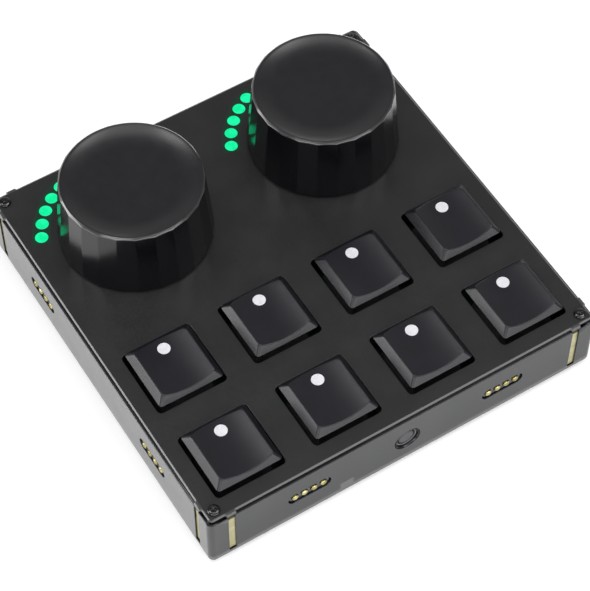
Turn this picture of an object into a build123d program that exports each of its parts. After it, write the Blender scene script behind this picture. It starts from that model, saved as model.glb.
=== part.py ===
from build123d import *
import math
import os

# A square desktop controller module: two large dials at the back, eight keys at the front,
# spring contacts and magnets on all four sides, so that modules dock side by side.
# The origin is under the middle of the module, on the table. X runs along the front edge,
# Y towards the dials and Z up.

# Case tray
case_side = 106.3
case_height = 16.6
case_wall = 2.2
case_floor = 2.0
case_corner_radius = 1.5
case_bottom_round = 1.0
case_lip_bevel = 0.25
corner_post_side = 8.2
foot_stand = 1.0
foot_diameter = 9.0
foot_inset = 11.0

# Top plate
plate_setback = 0.7
plate_thickness = 1.0
plate_corner_radius = 1.0
plate_bevel = 0.35
tab_root_width = 3.0
tab_tip_width = 2.3
tab_setback = 0.1

# Corner screws
screw_inset = 2.99
screw_shank_diameter = 1.8
screw_shank_length = 9.0
screw_head_diameter = 3.0
screw_head_height = 0.75
screw_head_bevel = 0.25

# Docking magnets, upright square rods that show through a narrow slot in the wall
magnet_inset = 5.95
magnet_side = 2.6
magnet_length = 13.1
magnet_slot_width = 1.8
magnet_slot_depth = 0.45
magnet_floor = 1.7
magnet_clearance = 0.05

# Docking contacts, four sprung pins in an oblong insulator, two on each side
contact_pitch = 2.54
contact_margin = 26.48
contact_height = 9.2
contact_slot_length = 11.5
contact_slot_height = 3.6
contact_recess = 0.45
contact_rim_gap = 0.25
contact_nose_depth = 2.6
contact_block_length = 12.4
contact_block_depth = 3.6
pin_count = 4
pin_diameter = 1.5
pin_tip_bevel = 0.3
pin_proud = 0.15
pin_length = 4.0
pin_travel = 0.5
pin_bore_clearance = 0.05
pin_end_gap = 0.3

# Main board
board_thickness = 1.6
board_height = 5.6
board_edge_gap = 0.5
board_post_gap = 0.6
board_boss_diameter = 6.0
board_boss_spacing = 51.8
side_notch_width = 9.0
side_notch_depth = 4.0

# Keys
key_rows = 2
key_columns = 4
key_side_margin = 14.3
key_front_margin = 14.25
key_row_pitch = 26.0
key_opening = 18.4
key_opening_radius = 1.2
key_travel = 3.0
cap_rise = 1.3
cap_height = 2.2
cap_base_side = 17.2
cap_top_width = 13.9
cap_top_depth = 13.6
cap_corner_bevel = 0.8
cap_top_shift = -0.3
cap_dish_depth = 1.2
cap_pocket_side = 14.8
cap_pocket_depth = 0.5
window_diameter = 3.15
window_offset = 4.6
window_clearance = 0.02
prong_width = 1.15
prong_depth = 2.9
prong_length = 2.6
prong_spacing = 5.7
prong_clearance = 0.05

# Key switches
switch_side = 13.8
switch_base_height = 4.6
switch_cover_height = 3.7
switch_cover_inset = 0.7
stem_width = 9.6
stem_depth = 4.6
stem_clearance = 0.15
stem_end_gap = 0.6

# Dials
dial_margin = 26.48
dial_gap = 0.65
dial_height = 18.9
dial_facets = 24
dial_base_radius = 19.02
dial_top_radius = 17.5
dial_rim_bevel = 0.8
dial_turn_left = 3.9
dial_turn_right = 8.4
dish_edge_radius = 16.4
dish_flat_radius = 10.5
dish_depth = 1.3
dial_top_thickness = 2.4
dial_wall = 2.4
dial_hub_radius = 5.0
hub_fit = 0.02
dial_push_travel = 0.5

# Rotary encoders
encoder_width = 12.4
encoder_depth = 13.2
encoder_height = 6.8
encoder_bushing_diameter = 7.0
encoder_bushing_top = 3.0
encoder_nut_width = 10.0
encoder_nut_sides = 6
encoder_nut_height = 2.0
shaft_diameter = 6.0
shaft_flat_depth = 1.5
shaft_fit = 0.05
shaft_end_gap = 0.4
plunger_diameter = 8.0
plunger_height = 1.4
plunger_clearance = 0.15
plunger_floor = 1.6
hub_gap = 0.6

# Light windows, an arc of five beside each dial
window_count = 5
window_arc_radius = 22.9
window_arc_middle = 135.0
window_arc_pitch = 10.05
light_diameter = 3.2
light_clearance = 0.02
light_bar_margin = 0.6
light_bar_height = 2.0
led_side = 2.0
led_height = 0.8

# Side button
button_height = 8.7
button_ring_diameter = 7.0
button_ring_depth = 0.55
button_hole_diameter = 5.0
button_diameter = 4.5
button_flange_diameter = 6.4
button_flange_thickness = 0.8
button_flange_gap = 0.1
button_stem_diameter = 2.4
button_travel = 0.4
side_switch_width = 6.0
side_switch_depth = 3.5
side_switch_height = 4.3
side_switch_gap = 0.1

# Socket at the back
socket_width = 8.94
socket_height = 3.26
socket_depth = 7.4
socket_wall = 0.3
socket_opening_gap = 0.3
socket_setback = 0.4
tongue_width = 6.7
tongue_height = 0.7
tongue_setback = 1.2

# Chips on the board
processor_side = 8.0
processor_height = 0.9
regulator_width = 4.0
regulator_depth = 6.0
regulator_height = 1.6
regulator_spacing = 8.0
chip_spacing = 16.0

# Flats that stand for a full round on the small rounds that repeat
small_round_flats = 12
pin_flats = 6

# The least slant, along each axis, of the edges between the sides of a key cap
least_slant = 0.1

quarter_turn = 90

# Heights and half sizes that follow from the sizes above
case_half = case_side / 2
case_top = foot_stand + case_height
plate_top = case_top + plate_thickness
inner_half = case_half - case_wall
plate_side = case_side - 2 * plate_setback
board_bottom = foot_stand + board_height
board_top = board_bottom + board_thickness
contact_level = foot_stand + contact_height
contact_offset = case_half - contact_margin
button_level = foot_stand + button_height
screw_place = case_half - screw_inset
magnet_place = case_half - magnet_inset
magnet_line = case_half - magnet_slot_depth - magnet_side / 2
magnet_bottom = foot_stand + magnet_floor
magnet_pocket_side = magnet_side + 2 * magnet_clearance
key_column_pitch = (case_side - 2 * key_side_margin) / (key_columns - 1)
cap_bottom = plate_top + cap_rise
cap_top = cap_bottom + cap_height
cap_ceiling = cap_bottom + cap_pocket_depth
switch_split = board_top + switch_base_height
switch_top = switch_split + switch_cover_height
stem_bottom = board_top + key_travel + stem_end_gap
dial_row = case_half - dial_margin
dial_bottom = plate_top + dial_gap
dial_top = dial_bottom + dial_height
dial_ceiling = dial_top - dish_depth - dial_top_thickness
encoder_top = board_top + encoder_height
bushing_top = plate_top + encoder_bushing_top
hub_bottom = bushing_top + dial_push_travel + hub_gap
plunger_bottom = board_top + plunger_floor + dial_push_travel
plunger_top = plunger_bottom + plunger_height
shaft_bottom = plunger_bottom + plunger_height / 2
shaft_top = dial_ceiling - shaft_end_gap
socket_level = board_top + socket_height / 2

# Each side of the module, as a turn about the vertical from the front
side_turns = {"front": 0, "right": quarter_turn, "back": 2 * quarter_turn, "left": 3 * quarter_turn}
dial_places = {"left": dial_margin - case_half, "right": case_half - dial_margin}
dial_turns = {"left": dial_turn_left, "right": dial_turn_right}

os.makedirs("parts", exist_ok=True)


# A plane on a side wall: its x runs along the wall, its y up and its z outwards
def wall_plane(turn, height, depth=0.0, along=0.0):
    angle = math.radians(turn)
    out = Vector(math.sin(angle), -math.cos(angle), 0)
    run = Vector(math.cos(angle), math.sin(angle), 0)
    origin = out * (case_half - depth) + run * along + Vector(0, 0, height)
    return Plane(origin=origin, x_dir=run, z_dir=out)


# Places seen from above that repeat on each side, from a distance along and a distance out
def side_places(along, out):
    places = []
    for turn in side_turns.values():
        angle = math.radians(turn)
        for reach in (-along, along):
            x = reach * math.cos(angle) + out * math.sin(angle)
            y = reach * math.sin(angle) - out * math.cos(angle)
            places.append((x, y))
    return places


# The middle of each key, back row first, from left to right
def key_places():
    places = []
    for row in range(key_rows):
        for column in range(key_columns):
            x = key_side_margin - case_half + column * key_column_pitch
            y = key_front_margin - case_half + (key_rows - 1 - row) * key_row_pitch
            places.append((x, y))
    return places


# The middle of each light window beside the dial at x
def light_places(x):
    places = []
    for number in range(window_count):
        turn = window_arc_middle + (number - (window_count - 1) / 2) * window_arc_pitch
        angle = math.radians(turn)
        light_x = x + window_arc_radius * math.cos(angle)
        light_y = dial_row + window_arc_radius * math.sin(angle)
        places.append((light_x, light_y))
    return places


# The straight edges between the sides of a key cap, which slant along all three axes
def is_cap_corner(edge):
    along = edge % 0
    return edge.geom_type == GeomType.LINE and min(abs(along.X), abs(along.Y), abs(along.Z)) > least_slant


# A rectangle with rounded corners, in flats that touch the true outline
def soft_rectangle(width, height, radius, mode=Mode.ADD):
    reach = radius / math.cos(math.pi / small_round_flats)
    points = []
    for step in range(small_round_flats):
        angle = 2 * math.pi * (step + 0.5) / small_round_flats
        x = reach * math.cos(angle) + math.copysign(width / 2 - radius, math.cos(angle))
        y = reach * math.sin(angle) + math.copysign(height / 2 - radius, math.sin(angle))
        points.append((x, y))
    Polygon(*points, align=None, mode=mode)


# An oblong with round ends, in flats
def oblong(length, height, mode=Mode.ADD):
    soft_rectangle(length, height, height / 2, mode)


# A small round in flats
def small_round(diameter, mode=Mode.ADD):
    soft_rectangle(diameter, diameter, diameter / 2, mode)


all_keys = key_places()
all_lights = light_places(dial_places["left"]) + light_places(dial_places["right"])
dial_points = [(x, dial_row) for x in dial_places.values()]
rod_points = side_places(magnet_place, magnet_line)

# Case tray: a rounded square shell with posts in its corners
with BuildPart() as case_tray:
    with BuildSketch(Plane.XY.offset(foot_stand)):
        RectangleRounded(case_side, case_side, case_corner_radius)
    extrude(amount=case_height)
    fillet(case_tray.faces().sort_by(Axis.Z)[0].edges(), case_bottom_round)
    chamfer(case_tray.faces().sort_by(Axis.Z)[-1].edges(), case_lip_bevel)
    with BuildSketch(Plane.XY.offset(foot_stand + case_floor)):
        Rectangle(2 * inner_half, 2 * inner_half)
        post_reach = 2 * (corner_post_side - case_wall)
        with GridLocations(2 * inner_half, 2 * inner_half, 2, 2):
            Rectangle(post_reach, post_reach, mode=Mode.SUBTRACT)
    extrude(amount=case_height, mode=Mode.SUBTRACT)
    with BuildSketch(Plane.XY.offset(foot_stand + case_floor)):
        with GridLocations(board_boss_spacing, board_boss_spacing, 2, 2):
            small_round(board_boss_diameter)
    extrude(amount=board_height - case_floor)
    # Wells under the key openings, cut into the corner posts
    with BuildSketch(Plane.XY.offset(board_bottom)):
        with Locations(*all_keys):
            Rectangle(key_opening, key_opening)
    extrude(amount=case_height, mode=Mode.SUBTRACT)
    # Square magnet pockets, open to the side through a narrow slot
    with BuildSketch(Plane.XY.offset(magnet_bottom)):
        with Locations(*rod_points):
            Rectangle(magnet_pocket_side, magnet_pocket_side)
        for turn in side_turns.values():
            with Locations(Location((0, 0, 0), (0, 0, turn))):
                with Locations((-magnet_place, -case_half), (magnet_place, -case_half)):
                    Rectangle(magnet_slot_width, 2 * (case_half - magnet_line))
    extrude(amount=case_height, mode=Mode.SUBTRACT)
    # Screw holes in the posts
    with BuildSketch(Plane.XY.offset(case_top)):
        with GridLocations(2 * screw_place, 2 * screw_place, 2, 2):
            small_round(screw_shank_diameter)
    extrude(amount=plate_thickness - screw_shank_length, mode=Mode.SUBTRACT)
    # Slots for the docking contacts
    for turn in side_turns.values():
        with BuildSketch(wall_plane(turn, contact_level)):
            with Locations((-contact_offset, 0), (contact_offset, 0)):
                oblong(contact_slot_length, contact_slot_height)
        extrude(amount=-case_wall, mode=Mode.SUBTRACT)
    # Round recess and hole of the side button
    with Locations(wall_plane(side_turns["front"], button_level)):
        CounterBoreHole(
            radius=button_hole_diameter / 2,
            counter_bore_radius=button_ring_diameter / 2,
            counter_bore_depth=button_ring_depth,
            depth=case_wall,
        )
    # Opening for the socket
    with BuildSketch(wall_plane(side_turns["back"], socket_level)):
        oblong(socket_width + 2 * socket_opening_gap, socket_height + 2 * socket_opening_gap)
    extrude(amount=-case_wall, mode=Mode.SUBTRACT)
case_tray.part.label = "case_tray"
export_step(case_tray.part, "parts/case_tray.step")

# Top plate: thin, bevelled, with a small tab over each magnet slot
with BuildPart() as top_plate:
    with BuildSketch(Plane.XY.offset(case_top)):
        soft_rectangle(plate_side, plate_side, plate_corner_radius)
        for turn in side_turns.values():
            with Locations(Location((0, 0, 0), (0, 0, turn))):
                with Locations((-magnet_place, 0), (magnet_place, 0)):
                    Polygon(
                        (-tab_root_width / 2, -plate_side / 2 + plate_bevel),
                        (-tab_root_width / 2, -plate_side / 2),
                        (-tab_tip_width / 2, -case_half + tab_setback),
                        (tab_tip_width / 2, -case_half + tab_setback),
                        (tab_root_width / 2, -plate_side / 2),
                        (tab_root_width / 2, -plate_side / 2 + plate_bevel),
                        align=None,
                    )
    extrude(amount=plate_thickness)
    chamfer(top_plate.faces().sort_by(Axis.Z)[-1].outer_wire().edges(), plate_bevel)
    with BuildSketch(Plane.XY.offset(case_top)):
        with Locations(*all_keys):
            soft_rectangle(key_opening, key_opening, key_opening_radius)
    extrude(amount=plate_thickness, mode=Mode.SUBTRACT)
    with BuildSketch(Plane.XY.offset(case_top)):
        with Locations(*all_lights):
            small_round(light_diameter + 2 * light_clearance)
        with Locations(*dial_points):
            small_round(encoder_bushing_diameter)
        with GridLocations(2 * screw_place, 2 * screw_place, 2, 2):
            small_round(screw_shank_diameter)
    extrude(amount=plate_thickness, mode=Mode.SUBTRACT)
top_plate.part.label = "top_plate"
export_step(top_plate.part, "parts/top_plate.step")

# Corner screws: pan heads on straight shanks
with BuildPart() as top_screws:
    with BuildSketch(Plane.XY.offset(plate_top)):
        with GridLocations(2 * screw_place, 2 * screw_place, 2, 2):
            small_round(screw_head_diameter)
    extrude(amount=screw_head_height)
    chamfer(top_screws.faces().sort_by(Axis.Z)[-4:].edges(), screw_head_bevel)
    with BuildSketch(Plane.XY.offset(plate_top)):
        with GridLocations(2 * screw_place, 2 * screw_place, 2, 2):
            small_round(screw_shank_diameter)
    extrude(amount=-screw_shank_length)
top_screws.part.label = "top_screws"
export_step(top_screws.part, "parts/top_screws.step")

# Feet: four discs under the floor
with BuildPart() as rubber_feet:
    with BuildSketch():
        with GridLocations(case_side - 2 * foot_inset, case_side - 2 * foot_inset, 2, 2):
            small_round(foot_diameter)
    extrude(amount=foot_stand)
rubber_feet.part.label = "rubber_feet"
export_step(rubber_feet.part, "parts/rubber_feet.step")

# Docking magnets: one rod in each pocket
with BuildPart() as magnet_rods:
    with BuildSketch(Plane.XY.offset(magnet_bottom)):
        with Locations(*rod_points):
            Rectangle(magnet_side, magnet_side)
    extrude(amount=magnet_length)
magnet_rods.part.label = "magnet_rods"
export_step(magnet_rods.part, "parts/magnet_rods.step")

# Main board: cut back at the posts and behind the side button
board_half = inner_half - board_edge_gap
board_corner_cut = case_half - corner_post_side - board_post_gap
with BuildPart() as main_board:
    with BuildSketch(Plane.XY.offset(board_bottom)):
        Rectangle(2 * board_half, 2 * board_corner_cut)
        Rectangle(2 * board_corner_cut, 2 * board_half)
        with Locations((0, -board_half)):
            Rectangle(side_notch_width, 2 * side_notch_depth, mode=Mode.SUBTRACT)
    extrude(amount=board_thickness)
main_board.part.label = "main_board"
export_step(main_board.part, "parts/main_board.step")

# Chips: a light source below each window, a processor and two regulators
with BuildPart() as board_chips:
    with BuildSketch(Plane.XY.offset(board_top)):
        with Locations(*all_lights):
            Rectangle(led_side, led_side)
    extrude(amount=led_height)
    with BuildSketch(Plane.XY.offset(board_top)):
        with Locations((0, dial_row)):
            Rectangle(processor_side, processor_side)
    extrude(amount=processor_height)
    with BuildSketch(Plane.XY.offset(board_top)):
        with Locations((0, dial_row - chip_spacing)):
            with GridLocations(regulator_spacing, 0, 2, 1):
                Rectangle(regulator_width, regulator_depth)
    extrude(amount=regulator_height)
board_chips.part.label = "board_chips"
export_step(board_chips.part, "parts/board_chips.step")

# Contact insulators: an oblong nose in the wall slot and a block on the board behind it
nose_height = contact_slot_height - 2 * contact_rim_gap
block_front = case_wall + board_edge_gap
with BuildPart() as contact_housings:
    for turn in side_turns.values():
        with BuildSketch(wall_plane(turn, contact_level, contact_recess)):
            with Locations((-contact_offset, 0), (contact_offset, 0)):
                oblong(contact_slot_length - 2 * contact_rim_gap, nose_height)
        extrude(amount=-contact_nose_depth)
        with BuildSketch(wall_plane(turn, board_top, block_front)):
            with Locations((-contact_offset, 0), (contact_offset, 0)):
                Rectangle(
                    contact_block_length,
                    contact_level + nose_height / 2 - board_top,
                    align=(Align.CENTER, Align.MIN),
                )
        extrude(amount=-contact_block_depth)
    for turn in side_turns.values():
        for offset in (-contact_offset, contact_offset):
            with BuildSketch(wall_plane(turn, contact_level, contact_recess, offset)):
                with GridLocations(contact_pitch, 0, pin_count, 1):
                    RegularPolygon(pin_diameter / 2 + pin_bore_clearance, pin_flats)
            bore_depth = pin_length - contact_recess - pin_proud + pin_travel + pin_end_gap
            extrude(amount=-bore_depth, mode=Mode.SUBTRACT)
contact_housings.part.label = "contact_housings"
export_step(contact_housings.part, "parts/contact_housings.step")

# Contact pins: four pins with narrowed tips to a connector, standing just proud of the wall
for side, turn in side_turns.items():
    for number, offset in enumerate((-contact_offset, contact_offset), start=1):
        with BuildPart() as contact_pins:
            with BuildSketch(wall_plane(turn, contact_level, -pin_proud, offset)):
                with GridLocations(contact_pitch, 0, pin_count, 1):
                    RegularPolygon(pin_diameter / 2, pin_flats)
            extrude(amount=-pin_length)
            out = wall_plane(turn, contact_level).z_dir
            tips = contact_pins.faces().sort_by(Axis((0, 0, 0), out))[-pin_count:]
            chamfer(tips.edges(), pin_tip_bevel)
        contact_pins.part.label = f"contact_pins_{side}_{number}"
        export_step(contact_pins.part, f"parts/contact_pins_{side}_{number}.step")

# Key switches: square bases on the board, tapered covers over them, with a way through for the stem
with BuildPart() as switch_bases:
    with BuildSketch(Plane.XY.offset(board_top)):
        with Locations(*all_keys):
            Rectangle(switch_side, switch_side)
            Rectangle(stem_width + 2 * stem_clearance, stem_depth + 2 * stem_clearance, mode=Mode.SUBTRACT)
    extrude(amount=switch_base_height)
switch_bases.part.label = "switch_bases"
export_step(switch_bases.part, "parts/switch_bases.step")

cover_taper = math.degrees(math.atan(switch_cover_inset / switch_cover_height))
with BuildPart() as switch_covers:
    with BuildSketch(Plane.XY.offset(switch_split)):
        with Locations(*all_keys):
            Rectangle(switch_side, switch_side)
    extrude(amount=switch_cover_height, taper=cover_taper)
    with BuildSketch(Plane.XY.offset(switch_split)):
        with Locations(*all_keys):
            Rectangle(stem_width + 2 * stem_clearance, stem_depth + 2 * stem_clearance)
    extrude(amount=switch_cover_height, mode=Mode.SUBTRACT)
switch_covers.part.label = "switch_covers"
export_step(switch_covers.part, "parts/switch_covers.step")

# Keys: a cap with tapered sides and a dished top, a round light window in it and a stem below
cap_back = cap_top_depth / 2 + cap_top_shift
cap_front = cap_top_depth / 2 - cap_top_shift
for number, (x, y) in enumerate(all_keys, start=1):
    front_view = Plane((x, y, 0), x_dir=(1, 0, 0), z_dir=(0, -1, 0))
    side_view = Plane((x, y, 0), x_dir=(0, 1, 0), z_dir=(1, 0, 0))
    with BuildPart() as key_cap:
        # The front view has the dish, the side view the two unlike slopes
        with BuildSketch(front_view):
            with BuildLine():
                Polyline(
                    (-cap_top_width / 2, cap_top),
                    (-cap_base_side / 2, cap_bottom),
                    (cap_base_side / 2, cap_bottom),
                    (cap_top_width / 2, cap_top),
                )
                ThreePointArc(
                    (cap_top_width / 2, cap_top),
                    (0, cap_top - cap_dish_depth),
                    (-cap_top_width / 2, cap_top),
                )
            make_face()
        extrude(amount=cap_base_side, both=True)
        with BuildSketch(side_view):
            Polygon(
                (-cap_front, cap_top),
                (-cap_base_side / 2, cap_bottom),
                (cap_base_side / 2, cap_bottom),
                (cap_back, cap_top),
                align=None,
            )
        extrude(amount=cap_base_side, both=True, mode=Mode.INTERSECT)
        chamfer(key_cap.edges().filter_by(is_cap_corner), cap_corner_bevel)
        with BuildSketch(Plane((x, y, cap_bottom))):
            Rectangle(cap_pocket_side, cap_pocket_side)
        extrude(amount=cap_pocket_depth, mode=Mode.SUBTRACT)
        with BuildSketch(Plane((x, y + window_offset, cap_bottom))):
            small_round(window_diameter + 2 * window_clearance)
        extrude(amount=cap_height, mode=Mode.SUBTRACT)
        with BuildSketch(Plane((x, y, cap_ceiling))):
            with GridLocations(prong_spacing, 0, 2, 1):
                Rectangle(prong_width, prong_depth)
        extrude(amount=-prong_length)
    key_cap.part.label = f"key_cap_{number}"
    export_step(key_cap.part, f"parts/key_cap_{number}.step")

    with BuildPart() as key_window:
        with BuildSketch(Plane((x, y + window_offset, cap_ceiling))):
            small_round(window_diameter)
        extrude(amount=cap_height - cap_pocket_depth - cap_dish_depth)
    key_window.part.label = f"key_window_{number}"
    export_step(key_window.part, f"parts/key_window_{number}.step")

    with BuildPart() as key_stem:
        with BuildSketch(Plane((x, y, stem_bottom))):
            Rectangle(stem_width, stem_depth)
        extrude(amount=cap_ceiling - stem_bottom)
        with BuildSketch(Plane((x, y, cap_ceiling))):
            with GridLocations(prong_spacing, 0, 2, 1):
                Rectangle(prong_width + 2 * prong_clearance, prong_depth + 2 * prong_clearance)
        extrude(amount=-prong_length - prong_clearance, mode=Mode.SUBTRACT)
    key_stem.part.label = f"key_stem_{number}"
    export_step(key_stem.part, f"parts/key_stem_{number}.step")

# Light guides: five round windows flush with the plate on a bar under it
window_span = math.radians((window_count - 1) * window_arc_pitch)
window_arc_chord = 2 * window_arc_radius * math.sin(window_span / 2)
window_arc_rise = window_arc_radius * (1 - math.cos(window_span / 2))
light_bar_length = window_arc_chord + light_diameter + 2 * light_bar_margin
light_bar_width = window_arc_rise + light_diameter + 2 * light_bar_margin
light_bar_reach = window_arc_radius - window_arc_rise / 2
light_bar_turn = window_arc_middle + quarter_turn
with BuildPart() as light_guides:
    with BuildSketch(Plane.XY.offset(case_top)):
        for x in dial_places.values():
            bar_x = x + light_bar_reach * math.cos(math.radians(window_arc_middle))
            bar_y = dial_row + light_bar_reach * math.sin(math.radians(window_arc_middle))
            with Locations(Location((bar_x, bar_y, 0), (0, 0, light_bar_turn))):
                oblong(light_bar_length, light_bar_width)
    extrude(amount=-light_bar_height)
    with BuildSketch(Plane.XY.offset(case_top)):
        with Locations(*all_lights):
            small_round(light_diameter)
    extrude(amount=plate_thickness)
light_guides.part.label = "light_guides"
export_step(light_guides.part, "parts/light_guides.step")

# Rotary encoders: square cans on the board with bushings up through the plate
chamber_bottom = plunger_bottom - dial_push_travel - plunger_clearance
chamber_top = plunger_top + plunger_clearance
with BuildPart() as encoder_bodies:
    with BuildSketch(Plane.XY.offset(board_top)):
        with Locations(*dial_points):
            Rectangle(encoder_width, encoder_depth)
    extrude(amount=encoder_height)
    with BuildSketch(Plane.XY.offset(encoder_top)):
        with Locations(*dial_points):
            small_round(encoder_bushing_diameter)
    extrude(amount=bushing_top - encoder_top)
    with BuildSketch(Plane.XY.offset(chamber_top)):
        with Locations(*dial_points):
            Circle(shaft_diameter / 2 + shaft_fit)
    extrude(amount=bushing_top - chamber_top, mode=Mode.SUBTRACT)
    with BuildSketch(Plane.XY.offset(chamber_bottom)):
        with Locations(*dial_points):
            Rectangle(plunger_diameter + 2 * plunger_clearance, plunger_diameter + 2 * plunger_clearance)
    extrude(amount=chamber_top - chamber_bottom, mode=Mode.SUBTRACT)
encoder_bodies.part.label = "encoder_bodies"
export_step(encoder_bodies.part, "parts/encoder_bodies.step")

with BuildPart() as encoder_nuts:
    with BuildSketch(Plane.XY.offset(plate_top)):
        with Locations(*dial_points):
            RegularPolygon(encoder_nut_width / 2, encoder_nut_sides, major_radius=False)
            small_round(encoder_bushing_diameter, mode=Mode.SUBTRACT)
    extrude(amount=encoder_nut_height)
encoder_nuts.part.label = "encoder_nuts"
export_step(encoder_nuts.part, "parts/encoder_nuts.step")

# Dials: faceted, tapered and hollow, with a bevelled rim, a dished top and a hub on the shaft
facet_lean = (dial_base_radius - dial_top_radius) * math.cos(math.pi / dial_facets)
facet_taper = math.degrees(math.atan(facet_lean / (dial_height - dial_rim_bevel)))
dish_slope = math.degrees(math.atan((dish_edge_radius - dish_flat_radius) / dish_depth))
# The dish, a sloping margin round a flat middle, is made upside down
with BuildPart() as dish_shape:
    with BuildSketch():
        RegularPolygon(dish_edge_radius, 2 * dial_facets)
    extrude(amount=dish_depth, taper=dish_slope)
for side, x in dial_places.items():
    axis = Axis((x, dial_row, 0), (0, 0, 1))
    section = Plane((x, dial_row, 0), x_dir=(1, 0, 0), z_dir=(0, -1, 0))
    with BuildPart() as dial:
        with BuildSketch(Plane((x, dial_row, dial_bottom))):
            RegularPolygon(dial_base_radius, dial_facets, rotation=dial_turns[side])
        extrude(amount=dial_height, taper=facet_taper)
        # The rim bevel turns the facets' upper ends into a scalloped line
        with BuildSketch(section):
            Polygon(
                (0, dial_bottom),
                (dial_base_radius, dial_bottom),
                (dial_base_radius, dial_top - dial_rim_bevel - dial_base_radius + dial_top_radius),
                (dial_top_radius - dial_rim_bevel, dial_top),
                (0, dial_top),
                align=None,
            )
        revolve(axis=axis, mode=Mode.INTERSECT)
        add(Pos(x, dial_row, dial_top) * Rot(180, 0, 0) * dish_shape.part, mode=Mode.SUBTRACT)
        # The hollow follows the facets and leaves a hub in the middle
        with BuildSketch(Plane((x, dial_row, dial_bottom))):
            RegularPolygon(dial_base_radius - dial_wall, dial_facets, rotation=dial_turns[side])
        extrude(amount=dial_ceiling - dial_bottom, taper=facet_taper, mode=Mode.SUBTRACT)
        with BuildSketch(Plane((x, dial_row, hub_bottom))):
            small_round(2 * dial_hub_radius)
        extrude(amount=dial_ceiling - hub_bottom)
        # The bore with its flat
        with BuildSketch(Plane((x, dial_row, hub_bottom))):
            Circle(shaft_diameter / 2 + hub_fit)
            with Locations((0, shaft_diameter / 2 - shaft_flat_depth + hub_fit)):
                Rectangle(shaft_diameter, shaft_diameter, align=(Align.CENTER, Align.MIN), mode=Mode.SUBTRACT)
        extrude(amount=dial_ceiling - hub_bottom, mode=Mode.SUBTRACT)
    dial.part.label = f"dial_{side}"
    export_step(dial.part, f"parts/dial_{side}.step")

    with BuildPart() as dial_shaft:
        with BuildSketch(Plane((x, dial_row, shaft_bottom))):
            Circle(shaft_diameter / 2)
        extrude(amount=hub_bottom - shaft_bottom)
        with BuildSketch(Plane((x, dial_row, hub_bottom))):
            Circle(shaft_diameter / 2)
            with Locations((0, shaft_diameter / 2 - shaft_flat_depth)):
                Rectangle(shaft_diameter, shaft_diameter, align=(Align.CENTER, Align.MIN), mode=Mode.SUBTRACT)
        extrude(amount=shaft_top - hub_bottom)
    dial_shaft.part.label = f"dial_shaft_{side}"
    export_step(dial_shaft.part, f"parts/dial_shaft_{side}.step")

    # The plunger carries the shaft in a cup and goes down with it when the dial is pushed
    with BuildPart() as push_plunger:
        with BuildSketch(Plane((x, dial_row, plunger_bottom))):
            small_round(plunger_diameter)
        extrude(amount=plunger_height)
        with BuildSketch(Plane((x, dial_row, shaft_bottom - shaft_fit))):
            small_round(shaft_diameter + 2 * shaft_fit)
        extrude(amount=plunger_height, mode=Mode.SUBTRACT)
    push_plunger.part.label = f"push_plunger_{side}"
    export_step(push_plunger.part, f"parts/push_plunger_{side}.step")

# Side button: a round head in the wall, a flange behind it and a stem towards its switch
button_flange_front = case_wall + button_flange_gap
side_switch_front = case_wall + board_edge_gap + side_notch_depth
button_stem_end = side_switch_front - button_travel - side_switch_gap
with BuildPart() as side_button:
    with BuildSketch(wall_plane(side_turns["front"], button_level, button_ring_depth)):
        Circle(button_diameter / 2)
    extrude(amount=-(button_flange_front - button_ring_depth))
    with BuildSketch(wall_plane(side_turns["front"], button_level, button_flange_front)):
        small_round(button_flange_diameter)
    extrude(amount=-button_flange_thickness)
    with BuildSketch(wall_plane(side_turns["front"], button_level, button_flange_front)):
        small_round(button_stem_diameter)
    extrude(amount=-(button_stem_end - button_flange_front))
side_button.part.label = "side_button"
export_step(side_button.part, "parts/side_button.step")

with BuildPart() as side_switch:
    with BuildSketch(wall_plane(side_turns["front"], board_top, side_switch_front)):
        Rectangle(side_switch_width, side_switch_height, align=(Align.CENTER, Align.MIN))
    extrude(amount=-side_switch_depth)
side_switch.part.label = "side_switch"
export_step(side_switch.part, "parts/side_switch.step")

# Socket: an oblong shell on the board with a flat tongue in its mouth
with BuildPart() as usb_socket:
    with BuildSketch(wall_plane(side_turns["back"], socket_level, socket_setback)):
        oblong(socket_width, socket_height)
    extrude(amount=-socket_depth)
    with BuildSketch(wall_plane(side_turns["back"], socket_level, socket_setback)):
        oblong(socket_width - 2 * socket_wall, socket_height - 2 * socket_wall)
    extrude(amount=-(socket_depth - socket_wall), mode=Mode.SUBTRACT)
    with BuildSketch(wall_plane(side_turns["back"], socket_level, socket_setback + tongue_setback)):
        Rectangle(tongue_width, tongue_height)
    extrude(amount=-(socket_depth - tongue_setback))
usb_socket.part.label = "usb_socket"
export_step(usb_socket.part, "parts/usb_socket.step")
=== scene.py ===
import math

import bmesh
import bpy
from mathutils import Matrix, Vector
from mathutils.geometry import tessellate_polygon


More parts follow.
